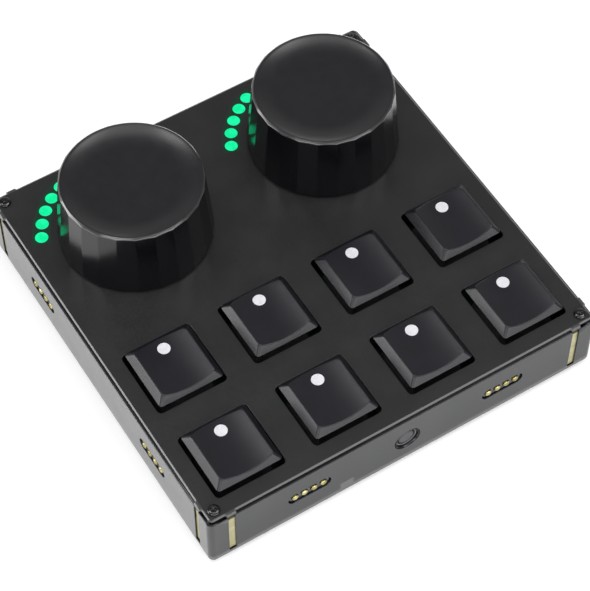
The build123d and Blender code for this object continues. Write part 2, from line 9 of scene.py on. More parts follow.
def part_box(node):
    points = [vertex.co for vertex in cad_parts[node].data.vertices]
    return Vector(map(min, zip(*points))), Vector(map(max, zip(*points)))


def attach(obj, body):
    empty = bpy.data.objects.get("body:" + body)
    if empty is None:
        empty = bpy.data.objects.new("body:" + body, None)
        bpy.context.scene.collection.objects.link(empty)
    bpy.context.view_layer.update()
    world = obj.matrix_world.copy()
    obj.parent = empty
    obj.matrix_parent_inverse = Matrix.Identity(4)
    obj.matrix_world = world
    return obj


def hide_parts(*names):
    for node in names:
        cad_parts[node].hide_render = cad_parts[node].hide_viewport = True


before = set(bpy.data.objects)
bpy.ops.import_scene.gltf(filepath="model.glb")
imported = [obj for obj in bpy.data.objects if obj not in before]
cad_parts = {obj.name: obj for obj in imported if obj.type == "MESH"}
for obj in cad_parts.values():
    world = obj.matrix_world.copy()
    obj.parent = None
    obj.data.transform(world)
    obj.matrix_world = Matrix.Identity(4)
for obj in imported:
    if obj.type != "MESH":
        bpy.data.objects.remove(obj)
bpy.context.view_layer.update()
print("frame loaded")

# Lengths in the dictionaries are in millimetres
mm = 0.001
scene = bpy.context.scene


def boxOf(node):
    low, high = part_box(node)
    return Vector(low) / mm, Vector(high) / mm


def middleOf(node):
    low, high = boxOf(node)
    return (low + high) / 2


caseLow, caseHigh = boxOf("case_tray")
plateLow, plateHigh = boxOf("top_plate")
caseHalf = caseHigh.x
plateThick = plateHigh.z - plateLow.z
sideTurns = {"front": 0, "right": 90, "back": 180, "left": 270}
keyNumbers = range(1, 9)
dialPlaces = [middleOf(f"dial_{side}") for side in ("left", "right")]

# Case tray with its slots, contact openings, button ring and socket opening
caseLook = {
    "corner": 1.5, "cornerSteps": 8, "bottomRound": 1.0, "bottomSteps": 6, "lipRound": 0.22, "lipSteps": 3,
    "wall": 2.2, "floor": 2.0, "post": 8.2, "mouth": 0.12, "mouthSteps": 3,
    "slotPlace": 47.2, "slotHalf": 0.9, "slotBottom": 2.7, "slotLip": 0.43, "slotFlare": 0.36,
    "pocketHalf": 1.35, "pocketDepth": 3.15, "wellHalf": 9.2, "wellCorner": 0.3, "wellSteps": 2,
    "contactPlace": 26.67, "contactLevel": 10.2, "contactLength": 11.5, "contactHeight": 3.6,
    "buttonLevel": 9.7, "buttonRing": 3.5, "buttonRingDepth": 0.55, "buttonHole": 2.5, "buttonEdge": 0.06,
    "buttonSteps": 12, "socketLevel": 9.83, "socketLength": 9.54, "socketHeight": 3.86,
}

# The arc of windows beside each dial, and the bar under it
lightLook = {
    "radius": 22.9, "middle": 135.0, "pitch": 10.05, "count": 5, "size": 1.6, "barMargin": 0.6,
    "barHeight": 2.0, "barBevel": 0.15, "rim": ((0, 0.16), (0.04, 0.09), (0.14, 0.05)), "dome": 0.05,
    "domeShares": (0.8, 0.6, 0.4, 0.2), "corners": 40, "shading": 40,
}


# Node trees, written as sums


# An operator's two methods, with the wire in front and behind
def operator(operation):
    def forwards(self, other):
        return self.math(operation, self, other)

    def reflected(self, other):
        return self.math(operation, other, self)
    return forwards, reflected


class Wire:
    def __init__(self, net, socket):
        self.net = net
        self.socket = socket

    def math(self, operation, first, second):
        values = {"Value": first, "Value_001": second}
        return self.net.make("ShaderNodeMath", {"operation": operation}, values, "Value")

    __add__, __radd__ = operator("ADD")
    __sub__, __rsub__ = operator("SUBTRACT")
    __mul__, __rmul__ = operator("MULTIPLY")
    __truediv__, __rtruediv__ = operator("DIVIDE")
    __pow__, __rpow__ = operator("POWER")
    __mod__, __rmod__ = operator("FLOORED_MODULO")
    least = operator("MINIMUM")[0]
    most = operator("MAXIMUM")[0]
    above = operator("GREATER_THAN")[0]

    def alone(self, operation):
        return self.net.make("ShaderNodeMath", {"operation": operation}, {"Value": self}, "Value")

    def __abs__(self):
        return self.alone("ABSOLUTE")


class Net:
    def __init__(self, tree):
        self.tree = tree

    # Makes a node, settings first, then its sockets by identifier, and gives the named output
    def make(self, kind, settings, inputs, output):
        node = self.tree.nodes.new(kind)
        for name, value in settings.items():
            setattr(node, name, value)
        for name, value in inputs.items():
            socket = next(s for s in node.inputs if s.identifier == name)
            if isinstance(value, Wire):
                self.tree.links.new(value.socket, socket)
            else:
                socket.default_value = value
        return Wire(self, next(s for s in node.outputs if s.identifier == output))


class ShaderNet(Net):
    def coords(self):
        return self.make("ShaderNodeTexCoord", {}, {}, "Object")

    def axis(self, name):
        return self.make("ShaderNodeSeparateXYZ", {}, {"Vector": self.coords()}, name)

    # Distance from the middle, measured squarely: the same all along the four sides
    def reach(self):
        return abs(self.axis("X")).most(abs(self.axis("Y")))

    # Cloudy pattern with features of about that many millimetres
    def clouds(self, size, detail=3.0, stretch=(1, 1, 1)):
        place = self.make("ShaderNodeMapping", {}, {"Vector": self.coords(), "Scale": stretch}, "Vector")
        inputs = {"Vector": place, "Scale": 1 / (size * mm), "Detail": detail}
        return self.make("ShaderNodeTexNoise", {}, inputs, "Fac")

    def specks(self, size):
        inputs = {"Vector": self.coords(), "Scale": 1 / (size * mm)}
        return self.make("ShaderNodeTexVoronoi", {}, inputs, "Distance")

    def span(self, value, low, high, toLow=0.0, toHigh=1.0):
        inputs = {"Value": value, "From Min": low, "From Max": high, "To Min": toLow, "To Max": toHigh}
        return self.make("ShaderNodeMapRange", {"interpolation_type": "SMOOTHSTEP"}, inputs, "Result")

    # Masks over a length: one beyond the two given limits, or one before them
    def beyond(self, value, limits):
        return self.span(value, limits[0] * mm, limits[1] * mm)

    def before(self, value, limits):
        return self.span(value, limits[0] * mm, limits[1] * mm, 1.0, 0.0)

    def mix(self, share, first, second):
        inputs = {"Factor_Float": share, "A_Color": first, "B_Color": second}
        return self.make("ShaderNodeMix", {"data_type": "RGBA"}, inputs, "Result_Color")

    # Two tones in clouds of that size
    def mottled(self, size, tones):
        return self.mix(self.span(self.clouds(size), 0.35, 0.7), *tones)

    # A roughness that follows a pattern
    def worn(self, pattern, roughness):
        return self.span(pattern, 0.3, 0.7, *roughness)

    def bump(self, height, depth):
        return self.make("ShaderNodeBump", {}, {"Height": height, "Distance": depth * mm}, "Normal")

    def principled(self, inputs):
        return self.make("ShaderNodeBsdfPrincipled", {}, inputs, "BSDF")


def hypotenuse(x, y):
    return (x * x + y * y) ** 0.5


def grey(value):
    return (value, value, value, 1)


def material(name, recipe):
    made = bpy.data.materials.new(name)
    made.use_nodes = True
    made.node_tree.nodes.clear()
    net = ShaderNet(made.node_tree)
    leave = made.node_tree.nodes.new("ShaderNodeOutputMaterial")
    made.node_tree.links.new(recipe(net).socket, leave.inputs["Surface"])
    return made


# Materials


# Smoky plastic: painted light in a pale line near the bottom and at one thin place in front, and painted
# shade inside
caseFinish = {
    "body": (0.009, 0.010, 0.012, 1), "haze": (0.022, 0.023, 0.026, 1), "hazeSize": 14,
    "hazeStretch": (1, 1, 0.35), "hazeSpan": (0.42, 0.68), "hazeShare": 0.5,
    "edge": (0.140, 0.140, 0.145, 1), "edgeStart": (0.7, 1.2), "edgeEnd": (1.4, 2.8), "edgeShare": 0.7,
    "thin": (0.085, 0.085, 0.089, 1), "thinPlace": (-16.5, 3.4), "thinAcross": (1.3, 2.3),
    "thinUp": (1.6, 2.6), "front": (1.0, 2.0), "recessed": (0.06, 0.16),
    "slotShade": (0.012, 0.011, 0.004, 1), "slot": (0.94, 1.02), "ring": (3.42, 3.50),
    "ringHighlight": (0.150, 0.150, 0.155, 1), "ringEdgeStart": (2.46, 2.50),
    "ringEdgeEnd": (2.60, 2.70), "inside": (0.004, 0.004, 0.0045, 1), "insideDepth": (1.6, 2.6),
    "insideRise": (0.5, 1.2), "roughness": (0.14, 0.22), "coat": 0.7, "frontCoat": 0.15,
}


def casePlastic(net):
    look = caseFinish
    x, y, z = (net.axis(name) for name in "XYZ")
    level = z - caseLow.z * mm
    depth = caseHalf * mm - net.reach()
    front = net.before(y + caseHalf * mm, look["front"])
    haze = net.span(net.clouds(look["hazeSize"], 2.0, look["hazeStretch"]), *look["hazeSpan"])
    # Painted light: a pale band near the bottom edge, where light shows through the smoky wall
    edge = net.beyond(level, look["edgeStart"]) * net.before(level, look["edgeEnd"])
    tone = net.mix(haze * look["hazeShare"], look["body"], look["haze"])
    tone = net.mix(edge * look["edgeShare"], tone, look["edge"])
    # Painted light showing through one thin place in the front wall
    thinX, thinZ = look["thinPlace"]
    thin = net.before(abs(x - thinX * mm), look["thinAcross"])
    thin = thin * net.before(abs(z - thinZ * mm), look["thinUp"])
    tone = net.mix(thin * front, tone, look["thin"])

    # Painted shade on the sides of the slots and in the ring round the button, with a painted highlight on
    # the ring's inner edge
    recessed = net.beyond(depth, look["recessed"])
    offX, offY = (abs(abs(along) - caseLook["slotPlace"] * mm) for along in (x, y))
    slot = net.before(offX.least(offY), look["slot"])
    tone = net.mix(slot * recessed, tone, look["slotShade"])
    away = hypotenuse(x, z - caseLook["buttonLevel"] * mm)
    ring = net.before(away, look["ring"]) * front
    ringHighlight = net.beyond(away, look["ringEdgeStart"]) * net.before(away, look["ringEdgeEnd"])
    tone = net.mix(ring * recessed, tone, net.mix(ringHighlight, look["inside"], look["ringHighlight"]))
    # The shaded parts are made metallic and lose their coat so that they stay dark
    paintedShadeMask = recessed * slot.most(ring * (1 - ringHighlight))
    # Painted shade over the inside of the case, in the same dark tone as the shade in the button ring
    within = net.beyond(depth, look["insideDepth"]) * net.beyond(level, look["insideRise"])
    return net.principled({
        "Base Color": net.mix(within, tone, look["inside"]),
        "Roughness": net.worn(net.clouds(5), look["roughness"]),
        "Metallic": paintedShadeMask,
        "IOR": 1.50,
        "Coat Weight": (look["coat"] - (look["coat"] - look["frontCoat"]) * front) * (1 - paintedShadeMask),
        "Coat Roughness": 0.08,
        "Normal": net.bump(net.clouds(3.0, 2.0), 0.004),
    })


# Satin black plate with a very fine grain, a glossy bevel with a painted highlight, painted shade on its
# sides and a painted green glow along the light windows
plateFinish = {
    "tones": ((0.0114, 0.0121, 0.0117, 1), (0.0152, 0.0160, 0.0156, 1)), "roughness": (0.33, 0.42),
    "bevel": (0.060, 0.060, 0.062, 1), "bevelReach": (52.03, 52.13), "bevelRoughness": 0.14,
    "side": (0.0015, 0.0015, 0.0015, 1), "sideDepth": (0.60, 0.68),
    "glow": (0.001, 0.034, 0.015, 1), "glowFade": (1.75, 2.6), "glowTurns": (26.6, 23.6),
}


# One along the arc of windows beside a dial, falling off to both sides
def arcGlow(net, dial):
    look = plateFinish
    x, y = net.axis("X") - dial.x * mm, net.axis("Y") - dial.y * mm
    away = hypotenuse(x, y)
    middle = math.radians(lightLook["middle"])
    facing = (x * math.cos(middle) + y * math.sin(middle)) / away
    near = net.before(abs(away - lightLook["radius"] * mm), look["glowFade"])
    return near * net.span(facing, *(math.cos(math.radians(turn)) for turn in look["glowTurns"]))


def plateBlack(net):
    look = plateFinish
    rough = net.worn(net.clouds(0.5, 4.0), look["roughness"])
    # The bevel is glossier, and painted lighter as a painted highlight
    bevel = net.beyond(net.reach(), look["bevelReach"])
    # Painted light: green light from the windows spilled on the plate
    glow = arcGlow(net, dialPlaces[0]).most(arcGlow(net, dialPlaces[1]))
    # Painted shade: below the bevel the sides are painted near black and made metallic, as the dark gap
    # between plate and tray
    side = net.beyond(plateHigh.z * mm - net.axis("Z"), look["sideDepth"])
    tone = net.mix(bevel, net.mottled(9, look["tones"]), look["bevel"])
    return net.principled({
        "Base Color": net.mix(glow, net.mix(side, tone, look["side"]), look["glow"]),
        "Roughness": rough + bevel * (look["bevelRoughness"] - rough),
        "Metallic": side,
        "IOR": 1.5,
        "Normal": net.bump(net.clouds(0.12, 2.0), 0.0012),
    })


# Moulded key caps: fine spark-eroded grain
capFinish = {"tones": ((0.0020, 0.0015, 0.0046, 1), (0.0036, 0.0030, 0.0074, 1)), "roughness": (0.33, 0.43)}


def capBlack(net):
    grain = net.clouds(0.16)
    return net.principled({
        "Base Color": net.mottled(4, capFinish["tones"]),
        "Roughness": net.worn(grain, capFinish["roughness"]),
        "IOR": 1.52,
        "Normal": net.bump(grain, 0.007),
    })


# Smooth dials: satin in the dish, darker and glossier on the facets, coated along the rim and painted lighter
# there as a painted highlight
dialFinish = {
    "tones": ((0.0062, 0.0060, 0.0078, 1), (0.0076, 0.0074, 0.0094, 1)), "roughness": (0.28, 0.31),
    "side": (0.0022, 0.0021, 0.0032, 1), "sideRoughness": 0.18, "sideDepth": (0.55, 0.75),
    "rim": (0.020, 0.020, 0.022, 1), "rimReach": (16.95, 17.05),
}


def dialBlack(net):
    look = dialFinish
    rough = net.worn(net.clouds(2.5, 1.0), look["roughness"])
    low = net.beyond(boxOf("dial_left")[1].z * mm - net.axis("Z"), look["sideDepth"])
    away = [hypotenuse(net.axis("X") - dial.x * mm, net.axis("Y") - dial.y * mm) for dial in dialPlaces]
    outer = net.beyond(away[0].least(away[1]), look["rimReach"])
    # The rim's lighter tone is a painted highlight; its coat adds real gloss
    side, rim = outer * low, outer * (1 - low)
    return net.principled({
        "Base Color": net.mix(rim, net.mix(side, net.mottled(8, look["tones"]), look["side"]), look["rim"]),
        "Roughness": rough + side * (look["sideRoughness"] - rough),
        "IOR": 1.56,
        "Coat Weight": rim,
        "Coat Roughness": 0.12,
        "Normal": net.bump(net.clouds(1.5, 1.0), 0.0008),
    })


# A plain moulded plastic or rubber, given by its tones, roughness and grain
def moulded(dark, light, rough, grain, depth):
    def recipe(net):
        pattern = net.clouds(grain)
        return net.principled({
            "Base Color": net.mottled(grain * 12, (dark, light)),
            "Roughness": net.worn(pattern, (rough * 0.85, rough * 1.15)),
            "Normal": net.bump(pattern, depth),
        })
    return recipe


# A metal, given by its tones, roughness and the size of its fine marks; a dull plating is less metallic
def metal(dark, light, rough, grain, depth, metallic=1.0):
    def recipe(net):
        pattern = net.clouds(grain, 4.0, (1, 1, 0.2))
        return net.principled({
            "Base Color": net.mottled(grain * 6, (dark, light)),
            "Metallic": metallic,
            "Roughness": net.worn(pattern, (rough * 0.8, rough * 1.25)),
            "Normal": net.bump(pattern, depth),
        })
    return recipe


# Lit windows: an even green
lightFinish = {
    "unlit": (0.001, 0.060, 0.025, 1), "deep": (0.001, 0.850, 0.320, 1), "bright": (0.010, 0.980, 0.420, 1),
}


def lightGreen(net):
    look = lightFinish
    return net.principled({
        "Base Color": look["unlit"],
        "Roughness": 0.25,
        "Specular IOR Level": 0.2,
        "Emission Color": net.mix(net.span(net.clouds(1.6, 1.0), 0.35, 0.65), look["deep"], look["bright"]),
        "Emission Strength": 1.0,
        "Normal": net.bump(net.clouds(0.6), 0.004),
    })


# White windows of the caps, slightly milky
windowFinish = {
    "tones": ((0.66, 0.66, 0.70, 1), (0.74, 0.74, 0.77, 1)), "roughness": (0.36, 0.5), "milk": 0.12,
    "depth": 0.4,
}


def windowWhite(net):
    look = windowFinish
    return net.principled({
        "Base Color": net.mottled(0.9, look["tones"]),
        "Roughness": net.worn(net.clouds(0.2), look["roughness"]),
        "Subsurface Weight": look["milk"],
        "Subsurface Radius": (look["depth"] * mm,) * 3,
        "Normal": net.bump(net.clouds(0.15), 0.004),
    })


# Green laminate with darker tracks
boardFinish = {"base": (0.010, 0.055, 0.026, 1), "tracks": (0.006, 0.034, 0.017, 1), "roughness": (0.3, 0.42)}


def boardLaminate(net):
    look = boardFinish
    tracks = net.span(net.specks(2.2), 0.10, 0.16)
    return net.principled({
        "Base Color": net.mix(tracks, look["base"], look["tracks"]),
        "Roughness": net.worn(net.clouds(0.8), look["roughness"]),
        "Normal": net.bump(tracks, 0.02),
    })


recipes = {
    "case_plastic": casePlastic,
    "plate_black": plateBlack,
    "screw_black": metal((0.050, 0.050, 0.052, 1), (0.085, 0.085, 0.090, 1), 0.14, 0.2, 0.001),
    "foot_rubber": moulded((0.010, 0.010, 0.010, 1), (0.018, 0.018, 0.018, 1), 0.75, 0.25, 0.02),
    "magnet_gold": metal((0.41, 0.38, 0.20, 1), (0.51, 0.48, 0.29, 1), 0.34, 0.3, 0.002, 0.35),
    "board_laminate": boardLaminate,
    "chip_black": moulded((0.012, 0.012, 0.013, 1), (0.022, 0.022, 0.024, 1), 0.5, 0.1, 0.004),
    "insulator_black": moulded((0.040, 0.040, 0.043, 1), (0.055, 0.055, 0.060, 1), 0.24, 0.2, 0.002),
    "switch_black": moulded((0.040, 0.040, 0.042, 1), (0.055, 0.055, 0.058, 1), 0.4, 0.3, 0.004),
    "light_green": lightGreen,
    "encoder_black": moulded((0.018, 0.018, 0.019, 1), (0.030, 0.030, 0.032, 1), 0.4, 0.3, 0.004),
    "nut_steel": metal((0.45, 0.45, 0.46, 1), (0.62, 0.62, 0.64, 1), 0.3, 0.2, 0.004),
    "socket_steel": metal((0.48, 0.48, 0.49, 1), (0.66, 0.66, 0.67, 1), 0.26, 0.3, 0.002),
    "cap_black": capBlack,
    "window_white": windowWhite,
    "stem_red": moulded((0.050, 0.010, 0.009, 1), (0.072, 0.014, 0.012, 1), 0.35, 0.3, 0.004),
    "dial_black": dialBlack,
    "shaft_steel": metal((0.50, 0.50, 0.50, 1), (0.66, 0.66, 0.66, 1), 0.25, 0.2, 0.003),
    "plunger_grey": moulded((0.16, 0.16, 0.17, 1), (0.22, 0.22, 0.23, 1), 0.45, 0.3, 0.005),
    "pin_gold": metal((0.36, 0.31, 0.10, 1), (0.74, 0.67, 0.33, 1), 0.16, 0.25, 0.002),
    "button_black": moulded((0.030, 0.031, 0.034, 1), (0.042, 0.043, 0.047, 1), 0.22, 0.2, 0.002),
}
finishes = {slot: material(slot, recipe) for slot, recipe in recipes.items()}
print("materials made")


# Meshes


# Sine and cosine at each step of a quarter turn
def quarter(steps):
    angles = [math.pi / 2 * step / steps for step in range(steps + 1)]
    return [(math.sin(angle), math.cos(angle)) for angle in angles]


# One rounded corner of a rectangle, anticlockwise; the corners count from the far right one
def cornerArc(number, halfX, halfY, radius, steps):
    sideX, sideY = ((1, 1), (-1, 1), (-1, -1), (1, -1))[number]
    middleX, middleY = sideX * (halfX - radius), sideY * (halfY - radius)
    angles = [math.pi / 2 * (number + step / steps) for step in range(steps + 1)]
    return [(middleX + radius * math.cos(angle), middleY + radius * math.sin(angle)) for angle in angles]


# A closed outline, anticlockwise, of a rectangle with rounded corners
def softLoop(halfX, halfY, radius, steps=8):
    points = []
    for number in range(4):
        for point in cornerArc(number, halfX, halfY, radius, steps):
            if not points or math.dist(points[-1], point) > 1e-6:
                points.append(point)
    if math.dist(points[0], points[-1]) < 1e-6:
        points.pop()
    return points


def circle(radius, steps=8):
    return softLoop(radius, radius, radius, steps)


def moved(points, x, y):
    return [(px + x, py + y) for px, py in points]


# The same outline, grown outwards by an even amount
def grown(points, amount):
    result = []
    for number, here in enumerate(points):
        here = Vector(here)
        came = (here - Vector(points[number - 1])).normalized()
        goes = (Vector(points[(number + 1) % len(points)]) - here).normalized()
        outCame = Vector((came.y, -came.x))
        outGoes = Vector((goes.y, -goes.x))
        result.append(tuple(here + (outCame + outGoes) * amount / (1 + outCame.dot(outGoes))))
    return result


# Rows of (growth, depth) that round the edge of an opening
def roundedMouth(radius, steps):
    return [(radius - radius * sine, radius - radius * cosine) for sine, cosine in quarter(steps)]


def flatPlace(z):
    return lambda x, y, depth: (x, y, z - depth)


# A point of the plan, given along one side of the square and outwards from the middle
def sidePoint(turn, run, out):
    angle = math.radians(turn)
    return run * math.cos(angle) + out * math.sin(angle), run * math.sin(angle) - out * math.cos(angle)


# A place on a side wall: x along the wall, y up, depth inwards
def wallPlace(turn):
    return lambda x, y, depth: (*sidePoint(turn, x, caseHalf - depth), y)


def linked(name, data):
    made = bpy.data.objects.new(name, data)
    scene.collection.objects.link(made)
    return made


class Shape:
    def __init__(self):
        self.mesh = bmesh.new()

    def ring(self, points):
        return [self.mesh.verts.new(Vector(point) * mm) for point in points]

    # Quads between two rings of the same count, apart from the skipped places
    def band(self, first, second, skipped=()):
        count = len(first)
        for number in range(count):
            if number not in skipped:
                after = (number + 1) % count
                self.mesh.faces.new((first[number], first[after], second[after], second[number]))

    # A flat face with holes
    def sheet(self, *rings):
        corners = [corner for ring in rings for corner in ring]
        loops = [[corner.co / mm for corner in ring] for ring in rings]
        for triangle in tessellate_polygon(loops):
            self.mesh.faces.new([corners[number] for number in triangle])

    # Triangles between a ring and a new point
    def fan(self, ring, point):
        pole = self.mesh.verts.new(Vector(point) * mm)
        for number in range(len(ring)):
            self.mesh.faces.new((ring[number], ring[(number + 1) % len(ring)], pole))

    # A closed block between two outlines
    def block(self, low, high):
        low, high = self.ring(low), self.ring(high)
        self.band(low, high)
        self.sheet(low)
        self.sheet(high)

    # Rings of one outline through rows of (growth, depth), joined by bands
    def sweep(self, place, outline, rows, closed=False):
        rings = []
        for growth, depth in rows:
            rings.append(self.ring([place(x, y, depth) for x, y in grown(outline, growth)]))
        for first, second in zip(rings, rings[1:]):
            self.band(first, second)
        if closed:
            self.sheet(rings[0])
            self.sheet(rings[-1])
        return rings

    # A body turned about the vertical, from rows of (radius, height) starting and ending on the axis
    def turned(self, centre, rows, count):
        x, y = centre
        angles = [2 * math.pi * number / count for number in range(count)]
        rings = []
        for radius, height in rows[1:-1]:
            spots = [(x + radius * math.cos(a), y + radius * math.sin(a), height) for a in angles]
            rings.append(self.ring(spots))
        for low, high in zip(rings, rings[1:]):
            self.band(low, high)
        self.fan(rings[0], (x, y, rows[0][1]))
        self.fan(rings[-1], (x, y, rows[-1][1]))

    def object(self, name):
        mesh = bpy.data.meshes.new(name)
        self.mesh.to_mesh(mesh)
        self.mesh.free()
        return linked(name, mesh)


# Applies what modifiers a piece has
def settle(piece):
    graph = bpy.context.evaluated_depsgraph_get()
    plain = bpy.data.meshes.new_from_object(piece.evaluated_get(graph), depsgraph=graph)
    piece.modifiers.clear()
    piece.data = plain


# Merges seams, turns the faces outwards and shades smooth up to an angle; flat walls keep their own normals
def smoothed(piece, angle=32):
    mesh = bmesh.new()
    mesh.from_mesh(piece.data)
    bmesh.ops.remove_doubles(mesh, verts=mesh.verts, dist=1e-7)
    bmesh.ops.dissolve_degenerate(mesh, edges=mesh.edges, dist=1e-8)
    bmesh.ops.recalc_face_normals(mesh, faces=mesh.faces)
    mesh.to_mesh(piece.data)
    mesh.free()
    piece.data.shade_smooth()
    piece.data.set_sharp_from_angle(angle=math.radians(angle))
    weigh = piece.modifiers.new("weigh", "WEIGHTED_NORMAL")
    weigh.keep_sharp = True
    weigh.weight = 70
    weigh.use_face_influence = True
    strengthName = "__mod_weightednormals_faceweight"
    strengths = piece.data.attributes.new(strengthName, "INT", "FACE")
    for face in piece.data.polygons:
        strengths.data[face.index].value = int(max(abs(part) for part in face.normal) > 0.99999)
    settle(piece)
    piece.data.attributes.remove(piece.data.attributes[strengthName])
    return piece


# Gives a finished piece its finish, its body and the nodes that it stands for
def placed(piece, slot, body, *nodes):
    piece.data.materials.clear()
    piece.data.materials.append(finishes[slot])
    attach(piece, body)
    if nodes:
        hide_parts(*nodes)
    return piece


def cut(piece, cutter):
    step = piece.modifiers.new("cut", "BOOLEAN")
    step.operation = "DIFFERENCE"
    step.solver = "EXACT"
    step.object = cutter
    settle(piece)
    bpy.data.objects.remove(cutter)


# Geometry trees


def newTree(name, sockets):
    tree = bpy.data.node_groups.new(name, "GeometryNodeTree")
    tree.interface.new_socket(name="Geometry", in_out="INPUT", socket_type="NodeSocketGeometry")
    for label, kind in sockets.items():
        tree.interface.new_socket(name=label, in_out="INPUT", socket_type="NodeSocket" + kind)
    tree.interface.new_socket(name="Geometry", in_out="OUTPUT", socket_type="NodeSocketGeometry")
    net = Net(tree)
    entry = tree.nodes.new("NodeGroupInput")
    return net, {socket.name: Wire(net, socket) for socket in entry.outputs if socket.name}


def endTree(net, geometry, finish):
    real = net.make("GeometryNodeRealizeInstances", {}, {"Geometry": geometry}, "Geometry")
    dressed = net.make("GeometryNodeSetMaterial", {}, {"Geometry": real, "Material": finish}, "Geometry")
    leave = net.tree.nodes.new("NodeGroupOutput")
    net.tree.links.new(dressed.socket, leave.inputs[0])
    return net.tree


# Runs a tree on a piece with its values set first, and leaves a plain mesh
def runTree(tree, name, values, base=None):
    piece = linked(name, base if base else bpy.data.meshes.new(name))
    step = piece.modifiers.new("tree", "NODES")
    step.node_group = tree
    for socket in tree.interface.items_tree:
        if socket.in_out == "INPUT" and socket.name in values:
            step[socket.identifier] = values[socket.name]
    piece.update_tag()
    bpy.context.view_layer.update()
    settle(piece)
    return piece


# The spot on a side of the square, as three parts
def sideSpot(given, along, turn):
    out = 0 - given["Out"]
    across, ahead = turn.alone("COSINE"), turn.alone("SINE")
    return {"X": along * across - out * ahead, "Y": along * ahead + out * across, "Z": given["Height"]}


# Copies of the source on as many points
def endWithCopies(net, given, count, spots, turn=None):
    spot = net.make("ShaderNodeCombineXYZ", {}, spots, "Vector")
    points = net.make("GeometryNodePoints", {}, {"Count": count, "Position": spot}, "Geometry")
    source = net.make("GeometryNodeObjectInfo", {}, {"Object": given["Source"]}, "Geometry")
    inputs = {"Points": points, "Instance": source}
    if turn:
        inputs["Rotation"] = net.make("ShaderNodeCombineXYZ", {}, {"Z": turn}, "Vector")
    copies = net.make("GeometryNodeInstanceOnPoints", {}, inputs, "Instances")
    return endTree(net, copies, given["Finish"])


# Copies of a source round the square: per side, mirrored pairs or one, each side a quarter turn further
def aroundSquareTree():
    net, given = newTree("aroundSquare", {
        "Source": "Object", "Per Side": "Int", "Along": "Float", "Out": "Float", "Height": "Float",
        "Loose Turn": "Float", "Seed": "Int", "Finish": "Material",
    })
    index = net.make("GeometryNodeInputIndex", {}, {}, "Index")
    turn = (index / given["Per Side"]).alone("FLOOR") * (math.pi / 2)
    along = (1 - 2 * (index % given["Per Side"])) * given["Along"]
    chance = {"Max_001": 1.0, "ID": index, "Seed": given["Seed"]}
    loose = net.make("FunctionNodeRandomValue", {"data_type": "FLOAT"}, chance, "Value_001")
    spots = sideSpot(given, along, turn)
    return endWithCopies(net, given, given["Per Side"] * 4, spots, turn + loose * given["Loose Turn"])


# A row of copies along one side wall
def wallRowTree():
    net, given = newTree("wallRow", {
        "Source": "Object", "Count": "Int", "Pitch": "Float", "Along": "Float", "Out": "Float",
        "Height": "Float", "Turn": "Float", "Finish": "Material",
    })
    index = net.make("GeometryNodeInputIndex", {}, {}, "Index")
    along = given["Along"] + (index - (given["Count"] - 1) / 2) * given["Pitch"]
    return endWithCopies(net, given, given["Count"], sideSpot(given, along, given["Turn"]), given["Turn"])


# Two arcs of copies, one beside each dial
def twoArcsTree():
    net, given = newTree("twoArcs", {
        "Source": "Object", "Count": "Int", "Radius": "Float", "Middle": "Float", "Pitch": "Float",
        "Aside": "Float", "Behind": "Float", "Height": "Float", "Finish": "Material",
    })
    index = net.make("GeometryNodeInputIndex", {}, {}, "Index")
    dial = (index / given["Count"]).alone("FLOOR")
    step = index % given["Count"] - (given["Count"] - 1) / 2
    turn = given["Middle"] + step * given["Pitch"]
    return endWithCopies(net, given, given["Count"] * 2, {
        "X": (2 * dial - 1) * given["Aside"] + given["Radius"] * turn.alone("COSINE"),
        "Y": given["Behind"] + given["Radius"] * turn.alone("SINE"),
        "Z": given["Height"],
    })


aroundSquare = aroundSquareTree()
wallRow = wallRowTree()
twoArcs = twoArcsTree()


# One piece of copies round the square, from a source that goes once they are made
def placedRound(name, source, slot, node, perSide, spot, loose=(0.0, 0)):
    along, out, height = spot
    piece = runTree(aroundSquare, name, {
        "Source": source, "Per Side": perSide, "Along": along * mm, "Out": out * mm, "Height": height * mm,
        "Loose Turn": loose[0], "Seed": loose[1], "Finish": finishes[slot],
    })
    bpy.data.objects.remove(source)
    placed(piece, slot, "module", node)


# Case tray: outer skin with rounded edges, wall openings, inner skin with corner posts


def caseOutline(inset):
    look = caseLook
    return softLoop(caseHalf - inset, caseHalf - inset, look["corner"] - inset, look["cornerSteps"])


# The openings of one wall, as outlines with the rows that lead inwards
def wallOpenings(side):
    look = caseLook
    mouth = roundedMouth(look["mouth"], look["mouthSteps"])
    through = mouth + [(0, look["wall"])]
    contact = softLoop(look["contactLength"] / 2, look["contactHeight"] / 2, look["contactHeight"] / 2)
    spots = (-look["contactPlace"], look["contactPlace"])
    openings = [(moved(contact, spot, look["contactLevel"]), through) for spot in spots]
    if side == "front":
        depth, edge = look["buttonRingDepth"], look["buttonEdge"]
        step = look["buttonHole"] - look["buttonRing"]
        rows = mouth + [(0, depth), (step + edge, depth), (step, depth + edge), (step, look["wall"])]
        ring = circle(look["buttonRing"], look["buttonSteps"])
        openings.append((moved(ring, 0, look["buttonLevel"]), rows))
    if side == "back":
        socket = softLoop(look["socketLength"] / 2, look["socketHeight"] / 2, look["socketHeight"] / 2)
        openings.append((moved(socket, 0, look["socketLevel"]), through))
    return openings


